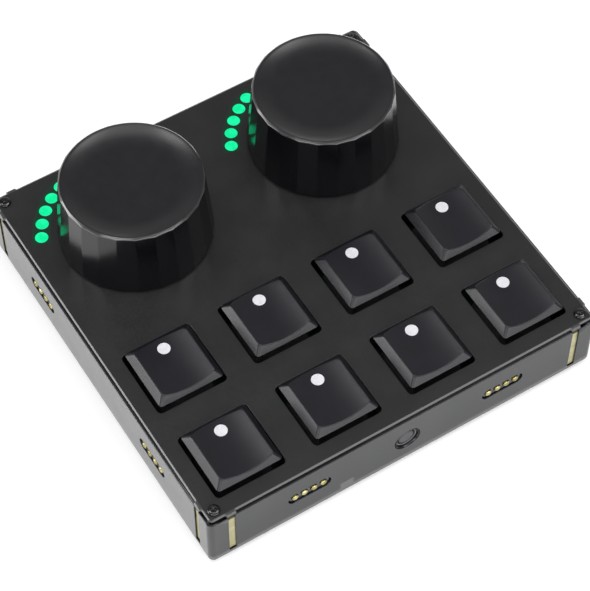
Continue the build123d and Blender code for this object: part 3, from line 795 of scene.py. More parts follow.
def buildCase():
    look = caseLook
    shape = Shape()
    top, lip = caseHigh.z, look["lipRound"]
    foot = roundedMouth(look["bottomRound"], look["bottomSteps"])
    rows = [(inset, caseLow.z + rise) for inset, rise in foot]
    wallLevel = len(rows) - 1
    rows += [(lip - lip * cosine, top - lip + lip * sine) for sine, cosine in quarter(look["lipSteps"])]
    rings = [shape.ring([(x, y, z) for x, y in caseOutline(inset)]) for inset, z in rows]
    straights = [(corner + 1) * (look["cornerSteps"] + 1) - 1 for corner in range(4)]
    for number, (low, high) in enumerate(zip(rings, rings[1:])):
        shape.band(low, high, straights if number == wallLevel else ())
    shape.sheet(rings[0])

    # Inner skin: a square notched by the corner posts
    inner, notch = caseHalf - look["wall"], caseHalf - look["post"]
    local = ((-notch, inner), (notch, inner), (notch, notch))
    plan = [sidePoint(turn, run, out) for turn in sideTurns.values() for run, out in local]
    rim = shape.ring([(x, y, top) for x, y in plan])
    base = shape.ring([(x, y, caseLow.z + look["floor"]) for x, y in plan])
    shape.band(rim, base, range(0, len(plan), len(local)))
    shape.sheet(rings[-1], rim)
    shape.sheet(base)

    # Walls with their openings
    low, high = rings[wallLevel], rings[wallLevel + 1]
    strips = {"back": 0, "left": 1, "front": 2, "right": 3}
    for number, (side, turn) in enumerate(sideTurns.items()):
        place = wallPlace(turn)
        lanes = [shape.sweep(place, outline, openingRows) for outline, openingRows in wallOpenings(side)]
        start = straights[strips[side]]
        after = (start + 1) % len(low)
        shape.sheet([low[start], low[after], high[after], high[start]], *(lane[0] for lane in lanes))
        corner = number * len(local)
        inside = [base[corner], base[corner + 1], rim[corner + 1], rim[corner]]
        shape.sheet(inside, *(lane[-1] for lane in lanes))
    return shape.object("caseShell")


# The pockets of the rods with their slots, and the wells under the front keys, all open to the top
def buildPockets():
    look = caseLook
    shape = Shape()
    top = caseHigh.z + 1
    half, lip, wide, mouth = look["slotHalf"], look["slotLip"], look["pocketHalf"], look["mouth"]
    flare, ahead = half + look["slotFlare"], -mouth * 2
    right = [(half, mouth), (half, lip), (wide, lip), (wide, look["pocketDepth"])]
    plan = [(-flare, ahead), (flare, ahead), *right, *((-x, depth) for x, depth in reversed(right))]
    for turn in sideTurns.values():
        place = wallPlace(turn)
        for spot in (-look["slotPlace"], look["slotPlace"]):
            low = [place(spot + x, look["slotBottom"], depth) for x, depth in plan]
            shape.block(low, [place(spot + x, top, depth) for x, depth in plan])
    boardBottom = boxOf("main_board")[0].z
    outline = softLoop(look["wellHalf"], look["wellHalf"], look["wellCorner"], look["wellSteps"])
    for side in (-1, 1):
        keys = (middleOf(f"key_cap_{number}") for number in keyNumbers)
        spot = max(keys, key=lambda key: side * key.x - key.y)
        well = moved(outline, spot.x, spot.y)
        shape.block([(x, y, boardBottom) for x, y in well], [(x, y, top) for x, y in well])
    return smoothed(shape.object("pockets"))


case = smoothed(buildCase())
cut(case, buildPockets())
placed(smoothed(case), "case_plastic", "module", "case_tray")
print("case made")


# Top plate: bevelled, with a tab over each rod and openings for keys, lights, dials and screws

plateLook = {
    "half": 52.45, "corner": 1.0, "cornerSteps": 8, "bevel": 0.35, "soft": 0.04,
    "tabRoot": 1.5, "tabTip": 1.15, "tabOut": 53.05, "opening": 9.2, "openingCorner": 1.2, "mouth": 0.13,
    "lightRadius": 1.62, "lightMouth": 0.06, "bushing": 3.5, "shank": 0.9,
}
screwHead = 1.5
screwPlace = boxOf("top_screws")[1].x - screwHead


def plateOutline():
    look = plateLook
    half, corner = look["half"], look["corner"]
    local = []
    for spot in (-caseLook["slotPlace"], caseLook["slotPlace"]):
        local += [(spot - look["tabRoot"], half), (spot - look["tabTip"], look["tabOut"]),
                  (spot + look["tabTip"], look["tabOut"]), (spot + look["tabRoot"], half)]
    centre = half - corner
    arc = quarter(look["cornerSteps"])
    local += [(centre + corner * sine, centre + corner * cosine) for sine, cosine in arc]
    return [sidePoint(turn, run, out) for turn in sideTurns.values() for run, out in local]


def lightSpots():
    look = lightLook
    radius = look["radius"]
    spots = []
    for dial in dialPlaces:
        for number in range(look["count"]):
            angle = math.radians(look["middle"] + (number - (look["count"] - 1) / 2) * look["pitch"])
            spots.append((dial.x + radius * math.cos(angle), dial.y + radius * math.sin(angle)))
    return spots


def buildPlate():
    look = plateLook
    shape = Shape()
    place = flatPlace(plateHigh.z)
    soft, bevel = look["soft"], look["bevel"]
    rows = [(-bevel - soft, 0), (-bevel + soft, soft / 2), (-soft / 2, bevel - soft), (0, bevel + soft),
            (0, plateThick)]
    edge = shape.sweep(place, plateOutline(), rows)
    opening = softLoop(look["opening"], look["opening"], look["openingCorner"])
    holes = [moved(opening, *middleOf(f"key_cap_{number}").xy) for number in keyNumbers]
    holes += [moved(circle(look["bushing"]), dial.x, dial.y) for dial in dialPlaces]
    shank = circle(look["shank"], 3)
    holes += [moved(shank, x, y) for x in (-screwPlace, screwPlace) for y in (-screwPlace, screwPlace)]
    lights = [moved(circle(look["lightRadius"]), x, y) for x, y in lightSpots()]
    lanes = []
    mouths = roundedMouth(look["mouth"], 4), roundedMouth(look["lightMouth"], 2)
    for outlines, mouth in zip((holes, lights), mouths):
        lanes += [shape.sweep(place, outline, mouth + [(0, plateThick)]) for outline in outlines]
    shape.sheet(edge[0], *(lane[0] for lane in lanes))
    shape.sheet(edge[-1], *(lane[-1] for lane in lanes))
    return shape.object("topPlate")


placed(smoothed(buildPlate()), "plate_black", "module", "top_plate")
print("plate made")


# Key caps: tapered sides, a dish along the width and a rounded rim

capLook = {
    "base": 8.6, "topX": 6.95, "topY": 6.8, "shift": -0.3, "baseCorner": 0.8, "topCorner": 1.0, "height": 2.2,
    "cornerSteps": 8, "sideSteps": 14, "dish": 1.2, "rim": 0.30, "rimSteps": 6, "reachNear": 0.1,
    "sideShares": (0.06, 0.3, 0.55), "topShares": (0.12, 0.28, 0.46, 0.64, 0.82, 0.94),
    "pocket": 7.4, "pocketCorner": 0.3, "pocketDepth": 0.5, "lowRound": 0.12,
    "windowY": 4.6, "windowRadius": 1.575, "windowGap": 0.02, "windowSoft": 0.05, "windowShares": (0.6, 0.2),
    "windowCorners": 48, "prongPlace": 2.85, "prongHalf": (0.575, 1.45), "prongLength": 2.6, "prongSink": 0.1,
}


def dishDrop(x):
    look = capLook
    radius = (look["topX"] ** 2 + look["dish"] ** 2) / (2 * look["dish"])
    return math.sqrt(max(radius ** 2 - x ** 2, 0)) - (radius - look["dish"])


# The outline with extra points along its straight sides, so that the dish bends it evenly
def capOutline(halfX, halfY, corner, shift):
    look = capLook
    arcs = [cornerArc(number, halfX, halfY, corner, look["cornerSteps"]) for number in range(4)]
    points = []
    for number, arc in enumerate(arcs):
        start, end = Vector(arc[-1]), Vector(arcs[(number + 1) % 4][0])
        points += [Vector(point) for point in arc]
        points += [start.lerp(end, step / look["sideSteps"]) for step in range(1, look["sideSteps"])]
    return [point + Vector((0, shift)) for point in points]


def buildCap():
    look = capLook
    shape = Shape()
    base = capOutline(look["base"], look["base"], look["baseCorner"], 0)
    top = capOutline(look["topX"], look["topY"], look["topCorner"], look["shift"])
    pocket = capOutline(look["pocket"], look["pocket"], look["pocketCorner"], 0)
    height = look["height"]
    centre = Vector((0, look["shift"]))

    # Each side line, followed to where it meets the dish
    corners = []
    for low, high in zip(base, top):
        share = 1.0
        for _ in range(30):
            share = (height - dishDrop(low.lerp(high, share).x)) / height
        corners.append((low.lerp(high, share), share))

    def side(number, share):
        flat = base[number].lerp(top[number], share)
        return Vector((flat.x, flat.y, height * share))

    def onTop(flat):
        return Vector((flat.x, flat.y, height - dishDrop(flat.x)))

    def edgePoint(number, share):
        corner, cornerShare = corners[number]
        tip = onTop(corner)
        down = (side(number, cornerShare - look["reachNear"]) - tip).normalized()
        inner = corner + (centre - corner).normalized() * look["reachNear"]
        across = (onTop(inner) - tip).normalized()
        first, last = tip + down * look["rim"], tip + across * look["rim"]
        return first * (1 - share) ** 2 + tip * 2 * share * (1 - share) + last * share ** 2

    numbers = range(len(base))
    sole = 1 - look["lowRound"] / look["base"]
    rings = [shape.ring([(p.x, p.y, level) for p in pocket]) for level in (look["pocketDepth"], 0)]
    rings.append(shape.ring([(p.x * sole, p.y * sole, 0) for p in base]))
    for share in look["sideShares"]:
        rings.append(shape.ring([side(number, corners[number][1] * share) for number in numbers]))
    for step in range(look["rimSteps"] + 1):
        rings.append(shape.ring([edgePoint(number, step / look["rimSteps"]) for number in numbers]))
    ends = [edgePoint(number, 1.0).xy for number in numbers]
    for share in look["topShares"]:
        rings.append(shape.ring([onTop(end.lerp(centre, share)) for end in ends]))
    for first, second in zip(rings, rings[1:]):
        shape.band(first, second)
    shape.fan(rings[0], (0, 0, look["pocketDepth"]))
    shape.fan(rings[-1], onTop(centre))

    # The prongs that go into the stem
    halfX, halfY = look["prongHalf"]
    bottom = look["pocketDepth"] - look["prongLength"]
    for spot in (-look["prongPlace"], look["prongPlace"]):
        plan = [(spot - halfX, -halfY), (spot + halfX, -halfY), (spot + halfX, halfY), (spot - halfX, halfY)]
        levels = (bottom, look["pocketDepth"] + look["prongSink"])
        shape.block(*([(x, y, level) for x, y in plan] for level in levels))
    return smoothed(shape.object("capSource"))


def buildWindow():
    look = capLook
    shape = Shape()
    radius, soft = look["windowRadius"], look["windowSoft"]
    rows = [(radius, None), (radius, soft), (radius - soft, 0)]
    rows += [(radius * share, 0) for share in look["windowShares"]]
    rings = []
    for reach, drop in rows:
        points = []
        for number in range(look["windowCorners"]):
            angle = 2 * math.pi * number / look["windowCorners"]
            x, y = reach * math.cos(angle), reach * math.sin(angle) + look["windowY"]
            height = look["pocketDepth"] if drop is None else look["height"] - dishDrop(x) - drop
            points.append((x, y, height))
        rings.append(shape.ring(points))
    for first, second in zip(rings, rings[1:]):
        shape.band(first, second)
    shape.sheet(rings[0])
    shape.sheet(rings[-1])
    return smoothed(shape.object("windowSource"))


# The hole for the window, from below the cap to above it
def buildBore():
    look = capLook
    reach = look["windowRadius"] + look["windowGap"]
    shape = Shape()
    shape.turned((0, look["windowY"]), [(0, -1), (reach, -1), (reach, 4), (0, 4)], look["windowCorners"])
    return smoothed(shape.object("bore"))


# The caps are copies of one that has its hole already
capSource = buildCap()
cut(capSource, buildBore())
capSource.data.set_sharp_from_angle(angle=math.radians(32))
windowSource = buildWindow()
for number in keyNumbers:
    middle = middleOf(f"key_cap_{number}")
    stand = boxOf(f"key_cap_{number}")[1].z - capLook["height"]
    for source, part, slot in ((capSource, "Cap", "cap_black"), (windowSource, "Window", "window_white")):
        piece = linked(f"key{part}{number}", source.data.copy())
        for vertex in piece.data.vertices:
            vertex.co += Vector((middle.x, middle.y, stand)) * mm
        placed(piece, slot, f"key_{number}", f"key_{part.lower()}_{number}")
bpy.data.objects.remove(capSource)
bpy.data.objects.remove(windowSource)
print("keys made")


# Dials: facets that lean inwards, a bevelled rim that cuts them in scallops, a dish and a hub

dialLook = {
    "facets": 24, "perFacet": 12, "ease": 0.82, "base": 19.02, "top": 17.5, "height": 18.9, "rim": 0.5,
    "soft": 0.0007, "foot": ((0.15, 0), (0.04, 0.05), (0, 0.18)), "wallLevels": (4, 9, 14),
    "meeting": (-0.14, -0.035, 0.035, 0.12), "rimEnd": ((0, 0.14), (0.03, 0.04)), "lip": (0.05, 0.02),
    "dishEdge": 16.93, "dishFlat": 10.6, "dishDepth": 1.4, "dishSteps": 24, "hub": 5.0, "bore": 3.02,
    "hubRise": 3.45, "hollow": 15.2, "hollowReach": 15.1, "hollowFoot": 16.4,
    "turns": {"left": 3.9, "right": 8.4},
}


# Rows of (reach, rule, height). Rule 0: the reach is a radius. Rule 1: it is an inset from the facets.
# Rule 2: the same, with the height counted from where the facet meets the rim's bevel
def dialProfile():
    look = dialLook
    height, edge, flat, hollow = look["height"], look["dishEdge"], look["dishFlat"], look["hollow"]
    rows = [(0, 0, hollow), (look["bore"], 0, hollow), (look["bore"], 0, look["hubRise"]),
            (look["hub"], 0, look["hubRise"]), (look["hub"], 0, hollow), (look["hollowReach"], 0, hollow),
            (look["hollowFoot"], 0, 0)]
    rows += [(inset, 1, level) for inset, level in look["foot"]]
    rows += [(0, 1, level) for level in look["wallLevels"]]
    rows += [(0, 2, rise) for rise in look["meeting"]]
    rows += [(inset, 1, height - drop) for inset, drop in look["rimEnd"]]
    rows += [(edge + reach, 0, height) for reach in look["lip"]]
    for step in range(look["dishSteps"] + 1):
        radius = edge * (1 - step / look["dishSteps"])
        share = max((radius - flat) / (edge - flat), 0)
        rows.append((radius, 0, height - look["dishDepth"] * (1 - share ** 2)))
    return rows


def facetDialTree():
    net, given = newTree("facetDial", {
        "Facets": "Int", "Per Facet": "Int", "Levels": "Int", "Base Radius": "Float", "Lean": "Float",
        "Cone Reach": "Float", "Soft Corner": "Float", "Turn": "Float", "Centre": "Vector",
        "Finish": "Material",
    })
    columns = given["Facets"] * given["Per Facet"]
    size = {"Vertices X": given["Levels"], "Vertices Y": columns + 1}
    grid = net.make("GeometryNodeMeshGrid", {}, size, "Mesh")
    index = net.make("GeometryNodeInputIndex", {}, {}, "Index")
    level = (index / (columns + 1)).alone("FLOOR")
    column = index - level * (columns + 1)
    facet = (column / given["Per Facet"]).alone("FLOOR")
    step = (column - facet * given["Per Facet"]) / given["Per Facet"] * 2 - 1
    eased = step + (step * math.pi).alone("SINE") * (dialLook["ease"] / math.pi)
    half = math.pi / given["Facets"]
    offset = eased * half
    angle = given["Turn"] + (facet + 0.5) * half * 2 + offset
    spread = half.alone("COSINE") / offset.alone("COSINE")
    position = net.make("GeometryNodeInputPosition", {}, {}, "Position")
    sample = {"Geometry": given["Geometry"], "Value": position, "Index": level}
    profile = net.make("GeometryNodeSampleIndex", {"data_type": "FLOAT_VECTOR"}, sample, "Value")
    reach, rule, rise = (net.make("ShaderNodeSeparateXYZ", {}, {"Vector": profile}, name) for name in "XYZ")
    lean = given["Lean"]
    meeting = (given["Cone Reach"] - given["Base Radius"] * spread) / (1 - lean * spread)
    height = rise + rule.above(1.5 * mm) * meeting
    edge = given["Base Radius"] - lean * height
    facetReach = (edge * spread).least(edge * (1 - given["Soft Corner"]))
    outer = facetReach.least(given["Cone Reach"] - height) - reach
    onFacet = rule.above(0.5 * mm)
    radius = onFacet * outer + (1 - onFacet) * reach
    spots = {"X": radius * angle.alone("COSINE"), "Y": radius * angle.alone("SINE"), "Z": height}
    joined = {"Vector": net.make("ShaderNodeCombineXYZ", {}, spots, "Vector"), "Vector_001": given["Centre"]}
    spot = net.make("ShaderNodeVectorMath", {"operation": "ADD"}, joined, "Vector")
    shaped = net.make("GeometryNodeSetPosition", {}, {"Geometry": grid, "Position": spot}, "Geometry")
    merged = net.make("GeometryNodeMergeByDistance", {}, {"Geometry": shaped, "Distance": 1e-6}, "Geometry")
    return endTree(net, merged, given["Finish"])


facetDial = facetDialTree()
profileRows = dialProfile()
for side, centre in zip(("left", "right"), dialPlaces):
    look = dialLook
    mesh = bpy.data.meshes.new(f"dial{side.title()}")
    mesh.from_pydata([(reach * mm, rule * mm, z * mm) for reach, rule, z in profileRows], [], [])
    bottom = boxOf(f"dial_{side}")[0].z
    dial = runTree(facetDial, f"dial{side.title()}", {
        "Facets": look["facets"], "Per Facet": look["perFacet"], "Levels": len(profileRows),
        "Base Radius": look["base"] * mm,
        "Lean": (look["base"] - look["top"]) / (look["height"] - look["rim"]),
        "Cone Reach": (look["top"] - look["rim"] + look["height"]) * mm, "Soft Corner": look["soft"],
        "Turn": math.radians(look["turns"][side]), "Centre": (centre.x * mm, centre.y * mm, bottom * mm),
        "Finish": finishes["dial_black"],
    }, mesh)
    placed(smoothed(dial), "dial_black", f"dial_{side}", f"dial_{side}")
print("dials made")


# Corner screws: pan heads with a cross recess

screwLook = {
    "head": screwHead, "rise": 0.75, "seat": 0.01, "edge": 0.08, "shank": 0.9, "length": 9.0, "flat": 0.62,
    "domeStart": 0.25, "domeSteps": 8, "middle": 0.5, "corners": 48, "crossLong": 0.78, "crossWide": 0.17,
    "crossWaist": 1.5, "crossTaper": 0.55, "crossDeep": 0.55, "crossAbove": 0.1, "shading": 40,
    "loose": (1.3, 4),
}


def buildScrew():
    look = screwLook
    head, rise, flat, start = look["head"], look["rise"], look["flat"], look["domeStart"]
    rows = [(0, -look["length"]), (look["shank"], -look["length"]), (look["shank"], look["seat"]),
            (head - look["edge"], look["seat"]), (head, look["edge"])]
    dome = quarter(look["domeSteps"])[:-1]
    rows += [(flat + (head - flat) * cosine, start + (rise - start) * sine) for sine, cosine in dome]
    rows += [(look["middle"], rise), (0, rise)]
    shape = Shape()
    shape.turned((0, 0), rows, look["corners"])
    screw = smoothed(shape.object("screwSource"), look["shading"])

    # The cross, a twelve-cornered star that narrows downwards
    long, wide = look["crossLong"], look["crossWide"]
    waist = wide * look["crossWaist"]
    arm = ((long, -wide), (long, wide), (waist, waist))
    plan = [(x * c - y * s, x * s + y * c) for c, s in ((1, 0), (0, 1), (-1, 0), (0, -1)) for x, y in arm]
    taper = look["crossTaper"]
    low = [(x * taper, y * taper, rise - look["crossDeep"]) for x, y in plan]
    cross = Shape()
    cross.block(low, [(x, y, rise + look["crossAbove"]) for x, y in plan])
    cut(screw, smoothed(cross.object("recess")))
    return smoothed(screw, look["shading"])


screwSpot = (screwPlace, screwPlace, plateHigh.z)
placedRound("cornerScrews", buildScrew(), "screw_black", "top_screws", 1, screwSpot, screwLook["loose"])


# Feet: low rubber discs with a shallow ring underneath

footLook = {
    "radius": 4.5, "height": 1.0, "round": 0.25, "hollow": 2.2, "ring": 2.5, "hollowRise": 0.08,
    "corners": 64,
}


def buildFoot():
    look = footLook
    radius, soft = look["radius"], look["round"]
    rows = [(0, look["hollowRise"]), (look["hollow"], look["hollowRise"]), (look["ring"], 0),
            (radius - soft, 0), (radius - soft * 0.3, soft * 0.3), (radius, soft), (radius, look["height"]),
            (0, look["height"])]
    shape = Shape()
    shape.turned((0, 0), rows, look["corners"])
    return smoothed(shape.object("footSource"))


footPlace = boxOf("rubber_feet")[1].x - footLook["radius"]
placedRound("rubberFeet", buildFoot(), "foot_rubber", "rubber_feet", 1, (footPlace, footPlace, 0))


# Docking magnets: plated square rods in the upright slots

rodLow, rodHigh = boxOf("magnet_rods")
rodLook = {"half": 1.3, "length": rodHigh.z - rodLow.z, "bevel": 0.12, "soft": 0.036, "corner": 0.18}


def buildRod():
    look = rodLook
    half, bevel, soft, length = look["half"], look["bevel"], look["soft"], look["length"]
    rows = [(-bevel, length), (-soft, length - soft), (0, length - bevel), (0, bevel), (-soft, soft),
            (-bevel, 0)]
    shape = Shape()
    outline = softLoop(half, half, look["corner"], 3)
    shape.sweep(lambda x, y, level: (x, y, level), outline, rows, closed=True)
    return smoothed(shape.object("rodSource"))


rodSpot = (caseLook["slotPlace"], rodHigh.x - rodLook["half"], rodLow.z)
placedRound("magnetRods", buildRod(), "magnet_gold", "magnet_rods", 2, rodSpot)


# Contact insulators: an oblong nose with four bores and a block behind it

contactLook = {
    "nose": (5.5, 1.55), "recess": 0.45, "noseDepth": 2.6, "soft": 0.12, "bore": 0.96, "boreSteps": 6,
    "boreMouth": 0.08, "boreDepth": 1.4, "pitch": 2.54, "count": 4, "block": (6.2, 3.6), "blockFront": 2.7,
    "blockHigh": 1.55, "blockLow": 2.0,
}


def buildInsulator():
    look = contactLook
    shape = Shape()
    halfLength, halfHeight = look["nose"]

    def place(x, y, depth):
        return (x, depth, y)

    soft = look["soft"]
    rows = [(-soft, 0), (-soft * 0.3, soft * 0.3), (0, soft), (0, look["noseDepth"])]
    rings = shape.sweep(place, softLoop(halfLength, halfHeight, halfHeight), rows)
    boreRows = roundedMouth(look["boreMouth"], 2) + [(0, look["boreDepth"])]
    bores = []
    for number in range(look["count"]):
        spot = (number - (look["count"] - 1) / 2) * look["pitch"]
        lane = shape.sweep(place, moved(circle(look["bore"], look["boreSteps"]), spot, 0), boreRows)
        bores.append(lane[0])
        shape.sheet(lane[-1])
    shape.sheet(rings[0], *bores)
    shape.sheet(rings[-1])
    half, depth = look["block"]
    front = look["blockFront"] - look["recess"]
    plan = [(-half, front), (half, front), (half, front + depth), (-half, front + depth)]
    shape.block(*([(x, y, level) for x, y in plan] for level in (-look["blockLow"], look["blockHigh"])))
    return smoothed(shape.object("insulatorSource"))


insulatorSpot = (caseLook["contactPlace"], caseHalf - contactLook["recess"], caseLook["contactLevel"])
placedRound("contactInsulators", buildInsulator(), "insulator_black", "contact_housings", 2, insulatorSpot)


# Contact pins: gold, with domed tips

pinLook = {
    "radius": 0.86, "proud": 0.15, "length": 4.0, "dome": 0.42, "domeSteps": 7, "corners": 32, "shading": 50,
}


# The pin lies along Y with its tip at the origin
def buildPin():
    look = pinLook
    radius, dome = look["radius"], look["dome"]
    rows = [(radius * sine, dome * (1 - cosine)) for sine, cosine in quarter(look["domeSteps"])]
    rows += [(radius, look["length"]), (0, look["length"])]
    shape = Shape()
    shape.turned((0, 0), rows, look["corners"])
    pin = shape.object("pinSource")
    for vertex in pin.data.vertices:
        vertex.co = vertex.co.xzy
    return smoothed(pin, look["shading"])


pinSource = buildPin()
for side, turn in sideTurns.items():
    for number, spot in ((1, -caseLook["contactPlace"]), (2, caseLook["contactPlace"])):
        pins = runTree(wallRow, f"contactPins{side.title()}{number}", {
            "Source": pinSource, "Count": contactLook["count"], "Pitch": contactLook["pitch"] * mm,
            "Along": spot * mm, "Out": (caseHalf + pinLook["proud"]) * mm,
            "Height": caseLook["contactLevel"] * mm, "Turn": math.radians(turn),
            "Finish": finishes["pin_gold"],
        })
        placed(pins, "pin_gold", f"pins_{side}_{number}", f"contact_pins_{side}_{number}")
bpy.data.objects.remove(pinSource)


# Light windows: low domed discs, their tops level with the plate. Their sizes stand at the top
def buildLight():
    look = lightLook
    size, dome = look["size"], look["dome"]
    rows = [(0, -plateThick), (size, -plateThick)]
    rows += [(size - inset, -drop) for inset, drop in look["rim"]]
    rows += [(size * share, -dome * share ** 2) for share in look["domeShares"]]
    shape = Shape()
    shape.turned((0, 0), rows + [(0, 0)], look["corners"])
    return smoothed(shape.object("lightSource"), look["shading"])


lightSource = buildLight()
lights = runTree(twoArcs, "lightWindows", {
    "Source": lightSource, "Count": lightLook["count"], "Radius": lightLook["radius"] * mm,
    "Middle": math.radians(lightLook["middle"]), "Pitch": math.radians(lightLook["pitch"]),
    "Aside": dialPlaces[1].x * mm, "Behind": dialPlaces[1].y * mm, "Height": plateHigh.z * mm,
    "Finish": finishes["light_green"],
})
bpy.data.objects.remove(lightSource)
placed(lights, "light_green", "module", "light_guides")


# The bars that the windows stand on, one under each arc
def buildBars():
    look = lightLook
    reach = math.radians(look["pitch"] * (look["count"] - 1) / 2)
    rise = look["radius"] * (1 - math.cos(reach))
    halfLong = look["radius"] * math.sin(reach) + look["size"] + look["barMargin"]
    halfWide = rise / 2 + look["size"] + look["barMargin"]
    middle = math.radians(look["middle"])
    cosine, sine = math.cos(middle), math.sin(middle)
    away = look["radius"] - rise / 2
    bevel = look["barBevel"]
    shape = Shape()
    for dial in dialPlaces:
        outline = []
        for long, wide in softLoop(halfLong, halfWide, halfWide):
            x = dial.x + (away + wide) * cosine + long * sine
            y = dial.y + (away + wide) * sine - long * cosine
            outline.append((x, y))
        rows = [(-bevel, 0), (0, bevel), (0, look["barHeight"])]
        shape.sweep(flatPlace(plateLow.z), outline, rows, closed=True)
    return smoothed(shape.object("lightBars"))


placed(buildBars(), "light_green", "module")
print("small repeated pieces made")


# Side button: a round head in its ring, with flange and stem

buttonLook = {
    "radius": 2.25, "round": 0.55, "roundSteps": 5, "middle": 0.6, "front": 0.55, "flangeFront": 2.3,
    "flange": 3.2, "flangeBack": 3.1, "stem": 1.2, "end": 6.2, "corners": 64, "shading": 40,
}


def buildButton():
    look = buttonLook
    soft, front, flange, stem = look["round"], look["front"], look["flange"], look["stem"]
    face = look["radius"] - soft
    rows = [(0, front), (face * look["middle"], front)]
    arc = quarter(look["roundSteps"])
    rows += [(face + soft * sine, front + soft * (1 - cosine)) for sine, cosine in arc]
    rows += [(look["radius"], look["flangeFront"]), (flange, look["flangeFront"]),
             (flange, look["flangeBack"]), (stem, look["flangeBack"]), (stem, look["end"]), (0, look["end"])]
    shape = Shape()
    shape.turned((0, 0), rows, look["corners"])
    button = shape.object("sideButton")
    for vertex in button.data.vertices:
        vertex.co = vertex.co.xzy + Vector((0, -caseHalf, caseLook["buttonLevel"])) * mm
    return smoothed(button, look["shading"])


placed(buildButton(), "button_black", "button", "side_button")


# Socket at the back: a folded shell with a tongue

socketLook = {
    "length": 8.94, "height": 3.26, "wall": 0.3, "setback": 0.4, "depth": 7.4, "edge": 0.05, "lip": 0.08,
    "soft": 0.1, "straight": 0.01, "tongue": (3.35, 0.35), "tongueCorner": 0.12, "tongueBack": 1.2,
    "tongueSink": 0.05,
}


def buildSocket():
    look = socketLook
    shape = Shape()
    place = wallPlace(sideTurns["back"])
    level = caseLook["socketLevel"]
    front, back = look["setback"], look["setback"] + look["depth"]
    wall, edge, lip, soft = look["wall"], look["edge"], look["lip"], look["soft"]
    outer = softLoop(look["length"] / 2, look["height"] / 2, look["height"] / 2 - look["straight"])
    rows = [(0, back), (0, front + edge), (-edge, front), (lip - wall, front), (-wall, front + soft),
            (-wall, back - wall)]
    shape.sweep(place, moved(outer, 0, level), rows, closed=True)
    tongue = softLoop(*look["tongue"], look["tongueCorner"], 3)
    start, end = front + look["tongueBack"], back - wall + look["tongueSink"]
    shape.sweep(place, moved(tongue, 0, level), [(-lip, start), (0, start + soft), (0, end)], closed=True)
    return smoothed(shape.object("usbSocket"))


placed(buildSocket(), "socket_steel", "module", "usb_socket")
print("button and socket made")


# Nodes that keep their own mesh

keptNodes = {
    "main_board": "board_laminate", "board_chips": "chip_black", "switch_bases": "switch_black",
    "switch_covers": "switch_black", "encoder_bodies": "encoder_black", "encoder_nuts": "nut_steel",
    "dial_shaft_left": "shaft_steel", "dial_shaft_right": "shaft_steel", "push_plunger_left": "plunger_grey",
    "push_plunger_right": "plunger_grey", "side_switch": "switch_black",
}
keptNodes.update({f"key_stem_{number}": "stem_red" for number in keyNumbers})
for name, slot in keptNodes.items():
    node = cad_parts[name]
    node.data.materials.clear()
    node.data.materials.append(finishes[slot])
print("inner nodes dressed")


# Floor, lamps, world and camera

stageLook = {
    "floorHalf": 4, "floorTones": (0.80, 0.82), "floorClouds": 400, "floorSeen": 0.34, "floorMirrored": 0.12,
    "air": 0.26, "airSeen": 1.0,
}


# The floor is lifted to white for the camera, and a little in reflections
def floorFinish(net):
    look = stageLook
    rays = ("Is Camera Ray", "Is Glossy Ray", "Is Transmission Ray")
    seen, glossy, through = (net.make("ShaderNodeLightPath", {}, {}, ray) for ray in rays)
    strength = seen * look["floorSeen"] + (glossy + through).least(1.0) * look["floorMirrored"]
    tone = net.mix(net.clouds(look["floorClouds"]), *(grey(value) for value in look["floorTones"]))
    plain = net.make("ShaderNodeBsdfDiffuse", {}, {"Color": tone}, "BSDF")
    glow = net.make("ShaderNodeEmission", {}, {"Color": grey(1), "Strength": strength}, "Emission")
    return net.make("ShaderNodeAddShader", {}, {"Shader": plain, "Shader_001": glow}, "Shader")


floorHalf = stageLook["floorHalf"]
floorMesh = bpy.data.meshes.new("floor")
floorMesh.from_pydata([(x, y, 0) for x, y in softLoop(floorHalf, floorHalf, 0, 1)], [], [(0, 1, 2, 3)])
floorMesh.materials.append(material("floor", floorFinish))
linked("floor", floorMesh)

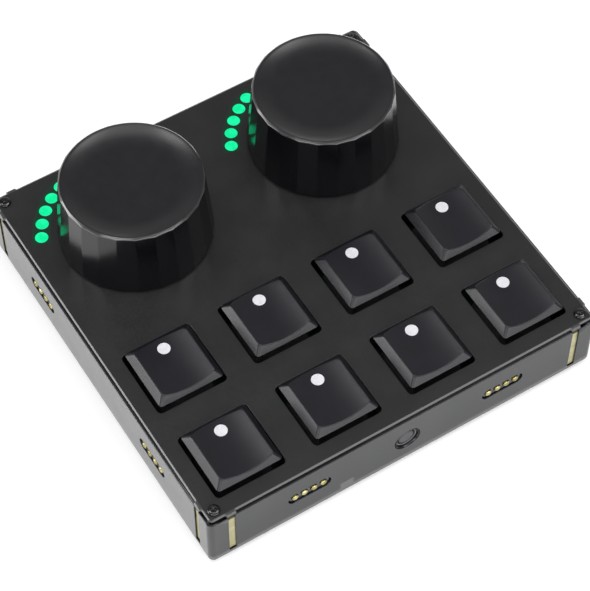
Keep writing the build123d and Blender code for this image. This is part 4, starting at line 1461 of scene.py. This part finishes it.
# Each lamp: place in metres, width and height, power in watts
lamps = {
    "overhead": ((-0.05, -0.09, 1.15), (0.60, 0.60), 1.8),
    "overLeft": ((-0.45, 0.36, 1.10), (0.38, 0.38), 2.8),
    "overRight": ((0.48, -0.27, 1.10), (0.56, 0.56), 4.4),
    "front": ((0.10, -1.10, 0.38), (1.30, 0.74), 9.2),
    "leftBack": ((-1.05, 0.55, 0.24), (0.80, 0.48), 7.6),
    "leftFront": ((-0.84, -0.62, 0.56), (0.70, 0.50), 4.2),
    "back": ((0.56, 0.92, 0.62), (1.50, 0.50), 0.6),
    "backLow": ((0.66, 0.86, 0.15), (0.50, 0.16), 0.5),
}
for name, (spot, (width, height), power) in lamps.items():
    light = bpy.data.lights.new(name, "AREA")
    light.shape = "RECTANGLE"
    light.size = width
    light.size_y = height
    light.energy = power
    lamp = linked(name, light)
    lamp.location = spot
    lamp.rotation_euler = Vector(spot).to_track_quat("Z", "Y").to_euler()
    lamp.visible_camera = False

world = bpy.data.worlds.new("studio")
scene.world = world
world.use_nodes = True
world.node_tree.nodes.clear()
worldNet = Net(world.node_tree)
seen = worldNet.make("ShaderNodeLightPath", {}, {}, "Is Camera Ray")
strength = stageLook["air"] + seen * (stageLook["airSeen"] - stageLook["air"])
air = worldNet.make("ShaderNodeBackground", {}, {"Color": grey(1), "Strength": strength}, "Background")
leave = world.node_tree.nodes.new("ShaderNodeOutputWorld")
world.node_tree.links.new(air.socket, leave.inputs["Surface"])

# The camera stands where the photograph was taken from
viewLook = {
    "azimuth": -31.687, "elevation": 55.827, "distance": 538.17, "target": (-4.280, -10.325, 18.6),
    "lens": 138.10, "sensor": 36, "clip": (0.01, 20),
}
azimuth, elevation = math.radians(viewLook["azimuth"]), math.radians(viewLook["elevation"])
level = math.cos(elevation)
back = Vector((math.sin(azimuth) * level, -math.cos(azimuth) * level, math.sin(elevation)))
view = bpy.data.cameras.new("view")
view.lens = viewLook["lens"]
view.sensor_width = viewLook["sensor"]
view.clip_start, view.clip_end = viewLook["clip"]
camera = linked("view", view)
camera.location = (Vector(viewLook["target"]) + back * viewLook["distance"]) * mm
camera.rotation_euler = back.to_track_quat("Z", "Y").to_euler()
scene.camera = camera
scene.view_settings.view_transform = "Standard"
print("stage set")
